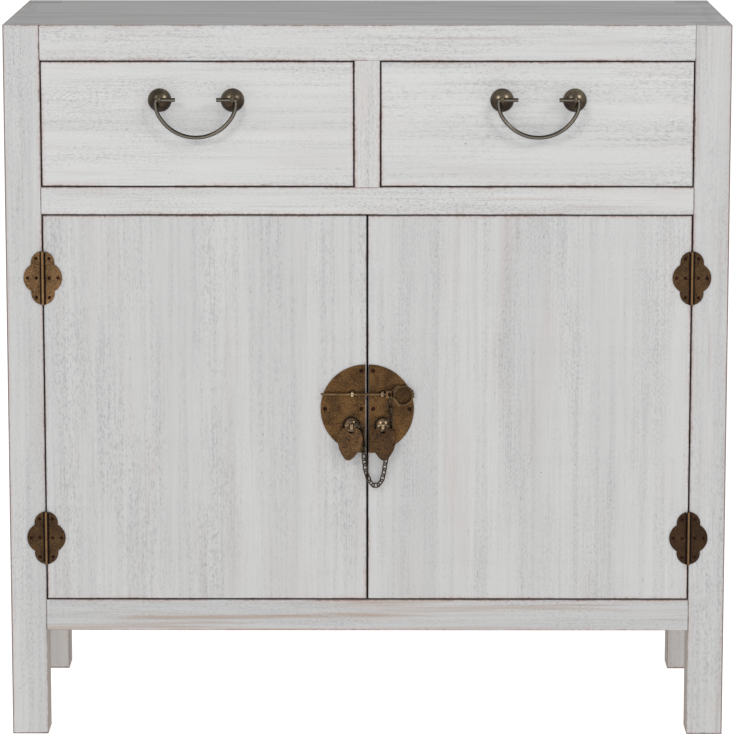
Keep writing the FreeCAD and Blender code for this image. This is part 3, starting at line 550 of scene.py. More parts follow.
# %% Aged metal from a dark and a light tone
SPECKS = (1250, 1250, 1250)
CLOUDS = (75, 75, 75)
SCRATCHES = (90, 1200, 1500)
# The dark of patina, also used as painted shade on the hinges and handles.
PATINA_AND_SHADE = colour(30, 15, 10)


def patinated(tone, share):
    """A colour moved towards the dark patina by a share."""
    return tuple((1 - share) * part + share * dark for part, dark in zip(tone, PATINA_AND_SHADE))


def aged_metal(name, deep, light, metal, gloss, speckle=1.0, over=None):
    """Patinated metal: a dark tone with a light one over it in specks, clouds and fine scratches, rougher
    where it is dark. A function can add layers, from the place and the specks."""
    material, shader, place = start_material(name)
    specks = place.noise(SPECKS, 3).rise(0.40, 0.66)
    clouds = place.noise(CLOUDS, 3).rise(0.3, 0.72)
    scratches = place.noise(SCRATCHES, 2).rise(0.60, 0.75)
    bright = specks * (0.7 * speckle) + clouds * (0.55 - 0.3 * speckle) + scratches * 0.15
    layers = [(bright, light)]
    if over:
        layers += over(place, specks)
    finish_material(shader, base_color=layered(deep, layers), metallic=bright * 0.15 + (metal - 0.1),
                    roughness=gloss + 0.12 - bright * 0.14,
                    normal=(specks + clouds).bump(0.05, 0.4 * speckle))
    return material


# %% Layers that patina, rubbing and grime lay over a metal
HINGE_DEEP = colour(52, 36, 22)
HINGE_LIGHT = colour(160, 124, 84)
BAIL_HIGHLIGHT = colour(186, 176, 160)
# Black grime, also used as painted contact shade round what stands on the lock.
GRIME_AND_SHADE = colour(12, 6, 4)
DARK_SPOT_SOFT = 0.15
BARREL_HIGHLIGHT = (1.2, 0.6)
BARREL_SHADE_IN, BARREL_SHADE_OUT = (0.9, 1.5), (3.6, 3.0)
SHADE_FROM, SHADE_TO = 3, -4
HIGHLIGHT_FROM, HIGHLIGHT_TO = 1.75, 2.15
_, BAIL_Y, BAIL_Z = pivot("left_bail_swing").tolist()


def barrel_highlight_and_shade(place, specks):
    """A hinge: a painted highlight along the barrel's front, and painted shade to each side of the barrel."""
    off = (place.millimetres("X").size() - HINGE_X).size()
    barrel_shade = off.rise(*BARREL_SHADE_IN) * off.rise(*BARREL_SHADE_OUT)
    return [(off.rise(*BARREL_HIGHLIGHT) * 0.5, HINGE_LIGHT), (barrel_shade * 0.94, PATINA_AND_SHADE)]


def shaded_below(place, specks):
    """A handle's bosses and eyes: painted shade below the axis on which the bail swings."""
    return [(place.millimetres("Z").rise(BAIL_Z + SHADE_FROM, BAIL_Z + SHADE_TO) * 0.72, PATINA_AND_SHADE)]


def highlit_front(place, specks):
    """A bail: a painted highlight along the front of its wire."""
    return [(place.millimetres("Y").rise(BAIL_Y - HIGHLIGHT_FROM, BAIL_Y - HIGHLIGHT_TO) * 0.34, BAIL_HIGHLIGHT)]


def grime_and_shade_round(spots):
    """For the lock: grime with painted contact shade round spots of (x, z, reach, share) in the plane of its
    plates.
    """
    def layers(place, specks):
        darkenings = []
        for x, z, reach, share in spots:
            apart = place.distance((x * MM, PLATE_FACE * MM, z * MM)) + specks * (0.5 * MM)
            darkening = apart.rise(reach * (1 + DARK_SPOT_SOFT) * MM, reach * (1 - DARK_SPOT_SOFT) * MM)
            darkenings.append((darkening * share, GRIME_AND_SHADE))
        return darkenings
    return layers


print("the bails swing at", round(BAIL_Z, 1), "mm above the floor")

# %% The metals of this cabinet
BRASS_DEEP = colour(46, 31, 19)
BRASS_LIGHT = colour(150, 114, 76)
# The left pull is lighter than the right partly from less patina and partly as painted sheen.
PULL_PATINA_AND_SHEEN = {"left": 0.22, "right": 0.52}
HINGE_PATINA = {"upper_left": 0.0, "upper_right": 0.55, "lower_left": 0.60, "lower_right": 0.78}
metals = {
    "aged_brass": aged_metal("aged_brass", BRASS_DEEP, BRASS_LIGHT, 0.9, 0.42),
    "polished_brass": aged_metal("handled_brass", colour(134, 110, 84), colour(206, 186, 156),
                                 1.0, 0.20, 0.1),
    # The bosses get painted shade below the bail's axis.
    "handle_metal": aged_metal("dark_bronze", colour(68, 60, 50), colour(154, 140, 119),
                               1.0, 0.26, 0.08, shaded_below),
    # The bail gets a painted highlight along the front of its wire.
    "bail_bronze": aged_metal("bail_bronze", colour(32, 28, 25), colour(72, 64, 56),
                              1.0, 0.22, 0.08, highlit_front),
    "chain_metal": aged_metal("chain_bronze", colour(26, 19, 13), colour(122, 106, 86), 0.95, 0.28, 0.3),
    "nail_iron": aged_metal("black_nail", colour(26, 12, 8), colour(70, 42, 30), 1.0, 0.50),
}
# The hinges: a painted highlight along each barrel and painted shade to each side of it.
for name, share in HINGE_PATINA.items():
    metals[f"hinge_{name}"] = aged_metal(f"hinge_brass_{name}", patinated(HINGE_DEEP, share),
                                         patinated(HINGE_LIGHT, share), 0.9, 0.42, over=barrel_highlight_and_shade)
for name, share in PULL_PATINA_AND_SHEEN.items():
    metals[f"pull_{name}"] = aged_metal(f"pull_brass_{name}", patinated(BRASS_DEEP, share),
                                        patinated(BRASS_LIGHT, share), 0.9, 0.42)
for node, slot in slots.items():
    if slot in metals:
        dress(node, metals[slot])
print("metals:", ", ".join(metals))

# %% [markdown]
# ## Surfaces from formulas
# Round wire, turned domes and cut sheet metal are each a grid of points from a formula with two parameters:
# along and around a wire, around and across a turned piece, around and over the rim of a plate. Whole arrays
# are worked out at once. A seam or a pole is a repeated row, which is welded when the mesh is made.

# %% From grids of points to a piece
WELD = 1e-6
SHARP = math.radians(42)


def added(name, data):
    """A new object in the scene that shows a mesh, a lamp or a camera."""
    thing = bpy.data.objects.new(name, data)
    bpy.context.collection.objects.link(thing)
    return thing


def piece(name, grids, body, slot, *nodes, finish=None):
    """One mesh from grids of points in millimetres. It rides on a body and stands for CAD nodes."""
    points, faces, start = [], [], 0
    for grid in grids:
        rows, columns = grid.shape[:2]
        index = start + np.arange(rows * columns).reshape(rows, columns)
        quads = [index[:-1, :-1], index[1:, :-1], index[1:, 1:], index[:-1, 1:]]
        faces.append(np.stack(quads, -1).reshape(-1, 4))
        points.append(grid.reshape(-1, 3))
        start += rows * columns
    mesh = bpy.data.meshes.new(name)
    mesh.from_pydata((np.concatenate(points) * MM).tolist(), [], np.concatenate(faces).tolist())
    shell = bmesh.new()
    shell.from_mesh(mesh)
    bmesh.ops.remove_doubles(shell, verts=shell.verts, dist=WELD)
    bmesh.ops.recalc_face_normals(shell, faces=shell.faces)
    shell.to_mesh(mesh)
    shell.free()
    mesh.polygons.foreach_set("use_smooth", np.ones(len(mesh.polygons), dtype=bool))
    mesh.set_sharp_from_angle(angle=SHARP)
    mesh.materials.append(metals[finish or slot])
    thing = added(name, mesh)
    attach(thing, body)
    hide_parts(*nodes)
    print(name, len(mesh.polygons), "faces")


# %% Wire, turned and plate surfaces
X_AXIS, Y_AXIS = np.eye(3)[:2]
FULL_TURN = np.linspace(0, 2 * np.pi, 25)
CAP = 0.8
SAME_POINT = 1e-4


def wire(path, normal, wide, deep, closed):
    """A section carried along a flat path: at each path point an ellipse, wide in the path's plane and deep
    along the plane's normal. An open wire is closed at each end by a flat cap, with one more ring on it."""
    if closed:
        along = np.roll(path, -1, 0) - np.roll(path, 1, 0)
        path, along = np.concatenate([path, path[:1]]), np.concatenate([along, along[:1]])
        size = np.ones(len(path))
    else:
        along = np.gradient(path, axis=0)
        path = np.concatenate([path[:1], path[:1], path, path[-1:], path[-1:]])
        along = np.concatenate([along[:1], along[:1], along, along[-1:], along[-1:]])
        size = np.ones(len(path))
        size[[0, -1]], size[[1, -2]] = 0.0, CAP
    side = np.cross(normal, along)
    side /= np.linalg.norm(side, axis=1)[:, None]
    around = FULL_TURN[None, :, None]
    section = side[:, None] * (wide * np.cos(around)) + normal * (deep * np.sin(around))
    return path[:, None] + section * size[:, None, None]


def turned(centre, axis, profile):
    """A profile of (along the axis, distance from it) turned once round the axis."""
    across = np.roll(axis, 1)
    other = np.cross(axis, across)
    around = FULL_TURN[None, :, None]
    along, radius = np.array(profile, float).T[:, :, None, None]
    return centre + axis * along + (across * np.cos(around) + other * np.sin(around)) * radius


def inset(outline, distance):
    """A closed outline of (x, z) points moved inwards along its normals."""
    ring = outline[:-1]
    along = np.roll(ring, -1, 0) - np.roll(ring, 1, 0)
    along /= np.linalg.norm(along, axis=1)[:, None]
    area = np.sum(ring[:, 0] * np.roll(ring[:, 1], -1) - np.roll(ring[:, 0], -1) * ring[:, 1])
    inward = np.stack([-along[:, 1], along[:, 0]], 1) * np.sign(area)
    moved = ring + inward * distance
    return np.concatenate([moved, moved[:1]])


def at_depth(outline, y):
    """Outline points (x, z) set at one depth."""
    return np.stack([outline[:, 0], np.full(len(outline), y), outline[:, 1]], 1)


def rim(outline, face, eased):
    """Rows over a plate's front rim, which is a quarter round: in from the outline as it comes forward."""
    rows = []
    for turn in np.linspace(0, np.pi / 2, 5):
        row = inset(outline, eased * (1 - np.cos(turn)))
        rows.append(at_depth(row, face + abs(eased) * (1 - np.sin(turn))))
    return rows


def plate(outline, middle, face, thick, eased):
    """Sheet metal cut to an outline that its middle point can see: rows from the back's middle over the rim
    to the front's middle."""
    hub = np.tile(middle, (len(outline), 1))
    return np.stack([at_depth(hub, face + thick), at_depth(outline, face + thick), *rim(outline, face, eased),
                     at_depth(hub, face)])


def holed_plate(outline, hole, face, thick, eased):
    """Sheet metal between an outline and a hole, row by row through the outer rim, the front, the hole's
    wall and the back. Both are given point for point in the same direction."""
    back = at_depth(outline, face + thick)
    return np.stack([back, *rim(outline, face, eased), *rim(hole, face, -eased)[::-1],
                     at_depth(hole, face + thick), back])


def arc(centre, radius, start, end, count):
    """Points (x, z) on an arc, with angles in degrees from +X towards +Z."""
    angle = np.radians(np.linspace(start, end, count))
    return np.array(centre) + radius * np.stack([np.cos(angle), np.sin(angle)], 1)


def ringed(middle, outline, radius):
    """A circle round the middle, point for point in the directions of an outline."""
    toward = outline - middle
    return middle + radius * toward / np.linalg.norm(toward, axis=1)[:, None]


def joined(*rows):
    """One closed outline from rows of points, with repeated points left out."""
    points = np.concatenate(rows)
    apart = np.linalg.norm(points - np.roll(points, 1, 0), axis=1) > SAME_POINT
    return np.concatenate([points[apart], points[apart][:1]])


print("a round section has", len(FULL_TURN) - 1, "sides")

# %% [markdown]
# ## Drawer handles
# Each handle has two domed bosses. A split pin goes through each: its eye stands in front of the dome, and
# its two legs are bent over inside the drawer. The bail is one bent wire. Its turned-in ends hang in the
# eyes, and below them three arcs make the bow: tight at both arms, flatter across the bottom. A curve drawn
# by hand could give the same line, but arcs hold the span and the drop as exact sizes.

# %% Parts that handles and lock share
SPLIT_LENGTH, SPLIT_THICK, SPLIT_BROAD = 9.0, 0.6, 1.2
EYE_POINTS = 32


def dome(x, face, z, radius, height):
    """A ball's cap on the plane y = face: its profile is an arc from rim to crown."""
    ball = (radius ** 2 + height ** 2) / (2 * height)
    angle = np.linspace(math.asin(radius / ball), 0, 14)
    profile = np.stack([height - ball + ball * np.cos(angle), ball * np.sin(angle)], 1)
    return turned(np.array([x, face, z]), -Y_AXIS, np.concatenate([[[0, 0]], profile]))


def eye(x, y, z, radius, thick, broad):
    """A strap bent to a ring whose hole runs along X."""
    angle = np.linspace(0, 2 * np.pi, EYE_POINTS, endpoint=False)
    ring = np.stack([np.full(EYE_POINTS, x), y + radius * np.cos(angle), z + radius * np.sin(angle)], 1)
    return wire(ring, X_AXIS, thick, broad, True)


def split_legs(x, start, z, inside):
    """The two legs of a split pin: in through the wood, then bent over, one up and one down."""
    legs = []
    for way in (1, -1):
        bend = arc((inside, z + way * SPLIT_THICK), SPLIT_THICK, -90 * way, 0, 6)
        path = np.array([(start, z), *bend, (inside + SPLIT_THICK, z + way * SPLIT_LENGTH)])
        path = np.column_stack([np.full(len(path), x), path])
        legs.append(wire(path, X_AXIS, SPLIT_THICK, SPLIT_BROAD, False))
    return legs


print("an eye has", EYE_POINTS, "points; split pins reach", SPLIT_LENGTH, "mm up and down behind the wood")

# %% Bosses, eyes and bails
HANDLE_SPAN = 80.0
HANDLE_DOME = (13.1, 9.0)
DOME_DROP = 1.4
HANDLE_EYE = (3.7, 1.1, 1.8)
BAIL_WIRE = 2.2
BAIL_OUT = 4.2
BAIL_HALF = HANDLE_SPAN / 2 + BAIL_OUT
BAIL_IN = 22.5
BAIL_CORNER = 3.0
BAIL_DROP = 41.4
BAIL_ARM_RADIUS = 31.0
DRAWER_BACK = corners("drawer_front_left")[1][1]


def bail_path(centre):
    """Half of the bail from its turned-in end to the bottom, then the same mirrored. The crown's radius
    follows from the drop, so that it meets the arm's arc without a corner."""
    rise = BAIL_DROP - BAIL_CORNER
    reach = BAIL_HALF - BAIL_ARM_RADIUS
    crown = (rise ** 2 + reach ** 2 - BAIL_ARM_RADIUS ** 2) / (2 * (rise - BAIL_ARM_RADIUS))
    turn = math.degrees(math.atan2(crown - rise, reach))
    corner = arc((BAIL_CORNER - BAIL_HALF, -BAIL_CORNER), BAIL_CORNER, 90, 180, 8)
    arm = arc((BAIL_ARM_RADIUS - BAIL_HALF, -BAIL_CORNER), BAIL_ARM_RADIUS, 180, 180 + turn, 16)
    bottom = arc((0, crown - rise - BAIL_CORNER), crown, 180 + turn, 270, 12)
    half = np.concatenate([[[-BAIL_IN, 0]], corner, arm[1:], bottom[1:]])
    flat = np.concatenate([half, half[-2::-1] * (-1, 1)])
    return centre + np.stack([flat[:, 0], np.zeros(len(flat)), flat[:, 1]], 1)


for name in SIDES:
    axis = pivot(f"{name}_bail_swing")
    posts = []
    for end in (-1, 1):
        x = axis[0] + end * HANDLE_SPAN / 2
        posts.append(dome(x, FRONT, axis[2] - DOME_DROP, *HANDLE_DOME))
        posts.append(eye(x, axis[1], axis[2], *HANDLE_EYE))
        posts += split_legs(x, axis[1] + HANDLE_EYE[0], axis[2], DRAWER_BACK)
    piece(f"handle_bosses_{name}", posts, f"{name}_drawer", "handle_metal", f"handle_posts_{name}")
    bow = wire(bail_path(axis), Y_AXIS, BAIL_WIRE, BAIL_WIRE, False)
    piece(f"bail_{name}", [bow], f"{name}_bail", "handle_metal", f"handle_bail_{name}",
          finish="bail_bronze")

# %% [markdown]
# ## Lotus hinges
# A hinge is two leaves cut as half a lotus: a wide lobe at the side and a smaller one at each end. Each leaf
# rolls two of its tongues round the pin, and the tongues of the two leaves take turns. The outline could be
# traced, but circles that cross need only their radii and places, and their cusps come out sharp.

# %% Leaves and their rolled tongues
PLATE_LIFT, PLATE_EASE = 0.05, 0.35
LOTUS_SIDE, LOTUS_SHIFT = 17.3, 4.1
LOTUS_END, LOTUS_HALF = 13.1, 30.0
LEAF_IN, LEAF_MIDDLE, LEAF_THICK = 2.6, 9.0, 1.2
BARREL = 2.1
ROLL_START, ROLL_END = -35, 235
TAIL_LAP, TAIL_BACK = 0.5, 0.2
TONGUES, TONGUE_GAP = 4, 0.3
HINGE_Y = pivot("left_door_swing")[1]


def lotus(side):
    """Half a lotus outline: an arc of the end lobe, the side lobe between the cusps where the lobes' circles
    cross, and the other end lobe."""
    end_z = LOTUS_HALF - LOTUS_END
    span = math.hypot(LOTUS_SHIFT, end_z)
    along = (LOTUS_SIDE ** 2 - LOTUS_END ** 2 + span ** 2) / (2 * span)
    off = math.sqrt(LOTUS_SIDE ** 2 - along ** 2)
    cusp = np.array([LOTUS_SHIFT - LOTUS_SHIFT / span * along + end_z / span * off,
                     end_z / span * along + LOTUS_SHIFT / span * off])
    top = math.degrees(math.acos(LEAF_IN / LOTUS_END))
    meet = math.degrees(math.atan2(cusp[1] - end_z, cusp[0]))
    flare = math.degrees(math.atan2(cusp[1], cusp[0] - LOTUS_SHIFT))
    outline = joined(arc((0, end_z), LOTUS_END, top, meet, 16),
                     arc((LOTUS_SHIFT, 0), LOTUS_SIDE, flare, -flare, 28),
                     arc((0, -end_z), LOTUS_END, -meet, -top, 16))
    return outline * (side, 1)


def tongue(x, low, high, side):
    """A tongue rolled round the pin: a circle with a tail to its leaf, drawn out along Z and closed by two
    hubs."""
    start, end = (ROLL_START, ROLL_END) if side > 0 else (180 - ROLL_END, 180 - ROLL_START)
    roll = arc((x, HINGE_Y), BARREL, start, end, 22) * (1, -1) + (0, 2 * HINGE_Y)
    root = x + side * (LEAF_IN + TAIL_LAP)
    tail = np.array([[root, FRONT - TAIL_BACK], [root, FRONT - LEAF_THICK]])
    section = joined(roll, tail if side > 0 else tail[::-1])
    hub = np.tile((x, HINGE_Y), (len(section), 1))
    rows = [(hub, low), (section, low), (section, high), (hub, high)]
    return np.stack([np.column_stack([flat, np.full(len(flat), z)]) for flat, z in rows])


def hinge_leaf(x, z, side, first):
    """A leaf plate with every other tongue, counted from below."""
    grids = [plate(lotus(side) + (x, z), (x + side * LEAF_MIDDLE, z), FRONT - LEAF_THICK,
                   LEAF_THICK - PLATE_LIFT, PLATE_EASE)]
    length = 2 * LOTUS_HALF / TONGUES
    for index in range(first, TONGUES, 2):
        low = z - LOTUS_HALF + index * length + TONGUE_GAP / 2
        grids.append(tongue(x, low, low + length - TONGUE_GAP, side))
    return grids


hinge_places = {}
for name, side in SIDES.items():
    x = pivot(f"{name}_door_swing")[0]
    for level in LEVELS:
        z = hinge_z(level, name)
        hinge_places[level, name] = (x, z)
        piece(f"lotus_frame_{level}_{name}", hinge_leaf(x, z, side, 1), "cabinet", "aged_brass",
              f"hinge_leaf_frame_{level}_{name}", finish=f"hinge_{level}_{name}")
        piece(f"lotus_door_{level}_{name}", hinge_leaf(x, z, -side, 0), f"{name}_door", "aged_brass",
              f"hinge_leaf_door_{level}_{name}", finish=f"hinge_{level}_{name}")

# %% [markdown]
# ## The round lock
# A disc of sheet brass is cut in two, half on each door. Each half carries an eye for the pin and a domed
# boss with a second eye, in which a leaf-shaped pull hangs. The pin goes through both eyes and ends in a
# flat neck and a ring to hold it by. Where these pieces stand on the plates is worked out first, because the
# grime and painted contact shade round them are part of the plates' finish.

# %% Brass of the lock, with grime and painted shade round what stands on it
LOCK_EYE_X = 16.7
PIN_OUT, PIN_UP = 3.6, 17.2
PIN_Y = PLATE_FACE - PIN_OUT
PIN_Z = LOCK_Z + PIN_UP
RING_X, RING_DROP = 39.8, 1.5
PLATE_NAILS = [(6.5, 43.0), (47.0, 0), (6.5, 0)]
# Dark spots: grime with painted contact shade round the bosses, eyes and ring, grime round the nails.
BOSS_GRIME_SHADE, EYE_GRIME_SHADE, NAIL_GRIME = (10.4, 0.9), (4.4, 0.9), (2.6, 0.9)
RING_GRIME_SHADE, PIN_GRIME = (11.0, 0.45), (15.0, 0.5)
grime_and_shade = []
for name, side in SIDES.items():
    boss_x, _, boss_z = pivot(f"{name}_pull_swing")
    grime_and_shade += [(boss_x, boss_z, *BOSS_GRIME_SHADE), (side * LOCK_EYE_X, PIN_Z, *EYE_GRIME_SHADE)]
    grime_and_shade += [(side * x, LOCK_Z + z, *NAIL_GRIME) for x, z in PLATE_NAILS]
grime_and_shade.append((RING_X, PIN_Z - RING_DROP, *RING_GRIME_SHADE))
metals["lock_brass"] = aged_metal("lock_brass", colour(40, 25, 14), colour(136, 101, 61), 0.9, 0.42, 0.85,
                                  grime_and_shade_round(grime_and_shade))
metals["rubbed_brass"] = aged_metal("rubbed_brass", colour(88, 66, 44), colour(166, 134, 96), 1.0, 0.24, 0.3,
                                    grime_and_shade_round([(RING_X, PIN_Z, *PIN_GRIME)]))
print("grime in", len(grime_and_shade), "spots on the lock")

# %% Plates, studs and pulls
PLATE_RADIUS, PLATE_MIDDLE = 50.0, 20.0
LOCK_EYE = (2.8, 1.1, 1.7)
PULL_EYE = (3.6, 0.9, 1.7)
BOSS = (8.0, 4.2)
PULL_WIDTH, PULL_LENGTH, PULL_THICK, PULL_EASE = 27.5, 39.0, 1.2, 0.3
PULL_HOLE, PULL_STRIP, PULL_HANG, PULL_TIP = 3.2, 2.0, 1.0, 5.0
PULL_TILT = {"left": 6.0, "right": -2.0}
DOOR_BACK = corners("door_left")[1][1]


def half_disc(name, side):
    """A half circle and the straight edge along the seam between the doors."""
    low, high = corners(f"lock_plate_{name}")
    edge = low[0] if side > 0 else high[0]
    bow = arc((0, 0), PLATE_RADIUS, -90, 90, 49)
    cut = np.stack([np.zeros(9), np.linspace(PLATE_RADIUS, -PLATE_RADIUS, 9)], 1)
    outline = joined(bow, cut) * (side, 1) + (edge, LOCK_Z)
    middle = (edge + side * PLATE_MIDDLE, LOCK_Z)
    return plate(outline, middle, PLATE_FACE, LEAF_THICK - PLATE_LIFT, PLATE_EASE)


def leaf_outline():
    """A pull's outline about its eye, and the height of its hole: a half round head, long arcs for flanks and
    a small round tip. A flank's radius follows from the head's and the tip's, so that they meet smoothly."""
    top = PULL_EYE[1] - PULL_EYE[0] + PULL_HANG + PULL_STRIP
    tip = top - PULL_LENGTH
    half = PULL_WIDTH / 2
    waist = top - half
    reach = waist - tip - PULL_TIP
    flank = (reach ** 2 + half ** 2 - PULL_TIP ** 2) / (2 * (half - PULL_TIP))
    lean = math.degrees(math.atan2(reach, flank - half))
    outline = joined(arc((0, waist), half, 0, 180, 24),
                     arc((flank - half, waist), flank, 180, 180 + lean, 20),
                     arc((0, tip + PULL_TIP), PULL_TIP, 180 + lean, 360 - lean, 12),
                     arc((half - flank, waist), flank, -lean, 0, 20))
    return outline, top - PULL_STRIP - PULL_HOLE


def turned_by(points, degrees):
    """Outline points turned about the origin, clockwise as seen from the front for a positive angle."""
    angle = math.radians(degrees)
    return points @ np.array([[math.cos(angle), -math.sin(angle)], [math.sin(angle), math.cos(angle)]])


for name, side in SIDES.items():
    hang = pivot(f"{name}_pull_swing")
    piece(f"half_plate_{name}", [half_disc(name, side)], f"{name}_door", "aged_brass", f"lock_plate_{name}",
          finish="lock_brass")
    studs = [eye(side * LOCK_EYE_X, PIN_Y, PIN_Z, *LOCK_EYE), eye(*hang, *PULL_EYE),
             dome(hang[0], PLATE_FACE, hang[2], *BOSS)]
    studs += split_legs(side * LOCK_EYE_X, PIN_Y + LOCK_EYE[0], PIN_Z, DOOR_BACK)
    studs += split_legs(hang[0], hang[1] + PULL_EYE[0], hang[2], DOOR_BACK)
    piece(f"studs_{name}", studs, f"{name}_door", "polished_brass", f"lock_studs_{name}")
    outline, hole_z = leaf_outline()
    hole = ringed(np.array([0, hole_z]), outline, PULL_HOLE)
    outline, hole = (turned_by(shape, PULL_TILT[name]) + (hang[0], hang[2]) for shape in (outline, hole))
    leaf = holed_plate(outline, hole, hang[1] - PULL_THICK / 2, PULL_THICK, PULL_EASE)
    piece(f"leaf_pull_{name}", [leaf], f"{name}_pull", "aged_brass", f"pull_{name}",
          finish=f"pull_{name}")

# %% The ring of the pin
NECK_START, NECK_END, NECK_TALL = 20.7, 29.6, 8.4
RING_OUT, RING_IN, RING_SWEEP = 11.7, 9.3, 105
RING_ROOT, POINT_IN, POINT_RISE = 3.0, 5.6, 12.6
TOOTH, TOOTH_TURN, TOOTH_STEP = 1.2, 10.0, 16.0
CUSP_TURN, CUSP_SPREAD, CUSP_DEPTH = 38, 11, 1.5


def ring_outline(middle):
    """The ring's outer edge: a circle with three round teeth on the right, and on the left two pointed
    shoulders that run to the neck."""
    angle = np.radians(np.linspace(-RING_SWEEP, RING_SWEEP, 141))
    radius = np.full(len(angle), RING_OUT)
    for tooth in (-1, 0, 1):
        off = RING_OUT * (angle - math.radians(TOOTH_TURN + tooth * TOOTH_STEP))
        radius += np.sqrt(np.maximum(TOOTH ** 2 - off ** 2, 0))
    round_part = np.stack([radius * np.cos(angle), radius * np.sin(angle)], 1)
    root = NECK_END - RING_ROOT - RING_X
    shoulders = np.array([(-POINT_IN, POINT_RISE), (root, RING_DROP + NECK_TALL / 2),
                          (root, RING_DROP - NECK_TALL / 2), (-POINT_IN, -POINT_RISE)])
    share = np.linspace(0, 1, 13)[:, None]
    flanks = [first * (1 - share) + second * share for first, second in zip(shoulders[:-1], shoulders[1:])]
    return joined(round_part, *flanks) + middle


def scalloped(middle, outline):
    """The ring's opening: a circle with two small cusps towards the neck, each a bell curve of the angle."""
    toward = outline - middle
    angle = np.degrees(np.arctan2(toward[:, 1], -toward[:, 0]))
    cusps = np.exp(-((np.abs(angle) - CUSP_TURN) / CUSP_SPREAD) ** 2)
    return middle + (RING_IN - CUSP_DEPTH * cusps)[:, None] * toward / np.linalg.norm(toward, axis=1)[:, None]


ring_middle = np.array([RING_X, PIN_Z - RING_DROP])
ring_edge = ring_outline(ring_middle)
print("the ring's edge has", len(ring_edge) - 1, "points")

# %% The pin with its neck and ring
PIN_RADIUS, PIN_TIP, PIN_IN_NECK = 1.4, -52.0, 0.4
PIN_KNOB = [(0, 0), (0, 0.7), (0.5, 1.3), (1.5, 1.6), (2.6, 1.3), (3.2, PIN_RADIUS)]
NECK_HOLE, NECK_SQUARE, NECK_EASE = 2.2, 6, 0.3
PIN_PLATE, RING_EASE = 1.6, 1.0


def neck_outline(middle):
    """A rectangle with rounded corners: the shares of its half sizes, across and up, each to a high power,
    add up to one."""
    turn = np.linspace(0, 2 * np.pi, 49)
    way = np.stack([np.cos(turn), np.sin(turn)], 1)
    square = np.abs(way / (NECK_END - NECK_START, NECK_TALL) * 2)
    return middle + np.sum(square ** NECK_SQUARE, 1)[:, None] ** (-1 / NECK_SQUARE) * way


pin_end = NECK_START + PIN_IN_NECK
knob = [(PIN_TIP + along, radius) for along, radius in PIN_KNOB]
bar = turned(np.array([0, PIN_Y, PIN_Z]), X_AXIS, [*knob, (pin_end, PIN_RADIUS), (pin_end, 0)])
neck_middle = np.array([(NECK_START + NECK_END) / 2, PIN_Z])
neck_edge = neck_outline(neck_middle)
neck_hole = ringed(neck_middle, neck_edge, NECK_HOLE)
face = PIN_Y - PIN_PLATE / 2
neck = holed_plate(neck_edge, neck_hole, face, PIN_PLATE, NECK_EASE)
ring = holed_plate(ring_edge, scalloped(ring_middle, ring_edge), face, PIN_PLATE, RING_EASE)
piece("pin_with_ring", [bar, neck, ring], "lock_pin", "aged_brass", "lock_pin", finish="rubbed_brass")

# %% [markdown]
# ## Chain and nails
# The CAD chain already has every link in its place, so each link's place and turn are read from it: the
# middle of its points, and the directions in which they spread most and next most. Each link is then swept
# again as smooth wire. A nail is turned from one profile and set at each hole of the plates and hinges.

# %% Links of the chain
LINK_WIRE, LINK_HALF, LINK_ROUND = 0.72, 4.5, 2.7


def node_points(node):
    """All points of a CAD node's mesh, in millimetres."""
    mesh = frame["nodes"][node].data
    flat = np.empty(len(mesh.vertices) * 3)
    mesh.vertices.foreach_get("co", flat)
    return flat.reshape(-1, 3) / MM


POINTS_PER_LINK = len(node_points("chain_end_link"))


def links(node):
    """Every link of a chain node as an oval of wire: two half circles joined by straight sides."""
    blocks = node_points(node).reshape(-1, POINTS_PER_LINK, 3)
    middles = (blocks.max(1) + blocks.min(1)) / 2
    half = np.radians(np.linspace(-90, 90, 13))
    straight = LINK_HALF - LINK_ROUND
    end = np.stack([straight + LINK_ROUND * np.cos(half), LINK_ROUND * np.sin(half)], 1)
    oval = np.concatenate([end, -end])
    grids = []
    for middle, block in zip(middles, blocks):
        across, along = np.linalg.eigh(np.cov((block - middle).T))[1].T[1:]
        path = middle + oval[:, :1] * along + oval[:, 1:] * across
        grids.append(wire(path, np.cross(along, across), LINK_WIRE, LINK_WIRE, True)[:, ::2])
    return grids


piece("chain_first_link", links("chain_end_link"), "left_door", "chain_metal", "chain_end_link")
for name in SIDES:
    piece(f"chain_run_{name}", links(f"chain_{name}"), f"{name}_chain", "chain_metal", f"chain_{name}")

# %% Nail heads
NAIL_RADIUS, NAIL_RISE, NAIL_SHANK, NAIL_LENGTH = 1.9, 0.7, 0.9, 11.0
NAIL_PROFILE = [(NAIL_RISE * 0.35, 0), (NAIL_RISE * 0.4, NAIL_RADIUS * 0.3), (NAIL_RISE, NAIL_RADIUS * 0.58),
                (NAIL_RISE * 0.9, NAIL_RADIUS * 0.75), (NAIL_RISE * 0.3, NAIL_RADIUS), (0, NAIL_RADIUS),
                (0, NAIL_SHANK), (-NAIL_LENGTH, NAIL_SHANK * 0.3), (-NAIL_LENGTH, 0)]
HINGE_NAILS = [(7.2, 0), (16.9, 0), (7.2, 21.8), (7.2, -21.8)]


def nail(x, z):
    """A nail with a low ringed head on its plate and a shank that tapers into the wood."""
    return turned(np.array([x, PLATE_FACE, z]), -Y_AXIS, NAIL_PROFILE)[:, ::2]


frame_nails = []
for name, side in SIDES.items():
    door_nails = [nail(side * x, LOCK_Z + z) for x, z in PLATE_NAILS]
    for level in LEVELS:
        x, z = hinge_places[level, name]
        frame_nails += [nail(x + side * out, z + up) for out, up in HINGE_NAILS]
        door_nails += [nail(x - side * out, z + up) for out, up in HINGE_NAILS]
    piece(f"nails_{name}_door", door_nails, f"{name}_door", "nail_iron", f"door_nails_{name}")
piece("nails_frame", frame_nails, "cabinet", "nail_iron", "frame_nails")

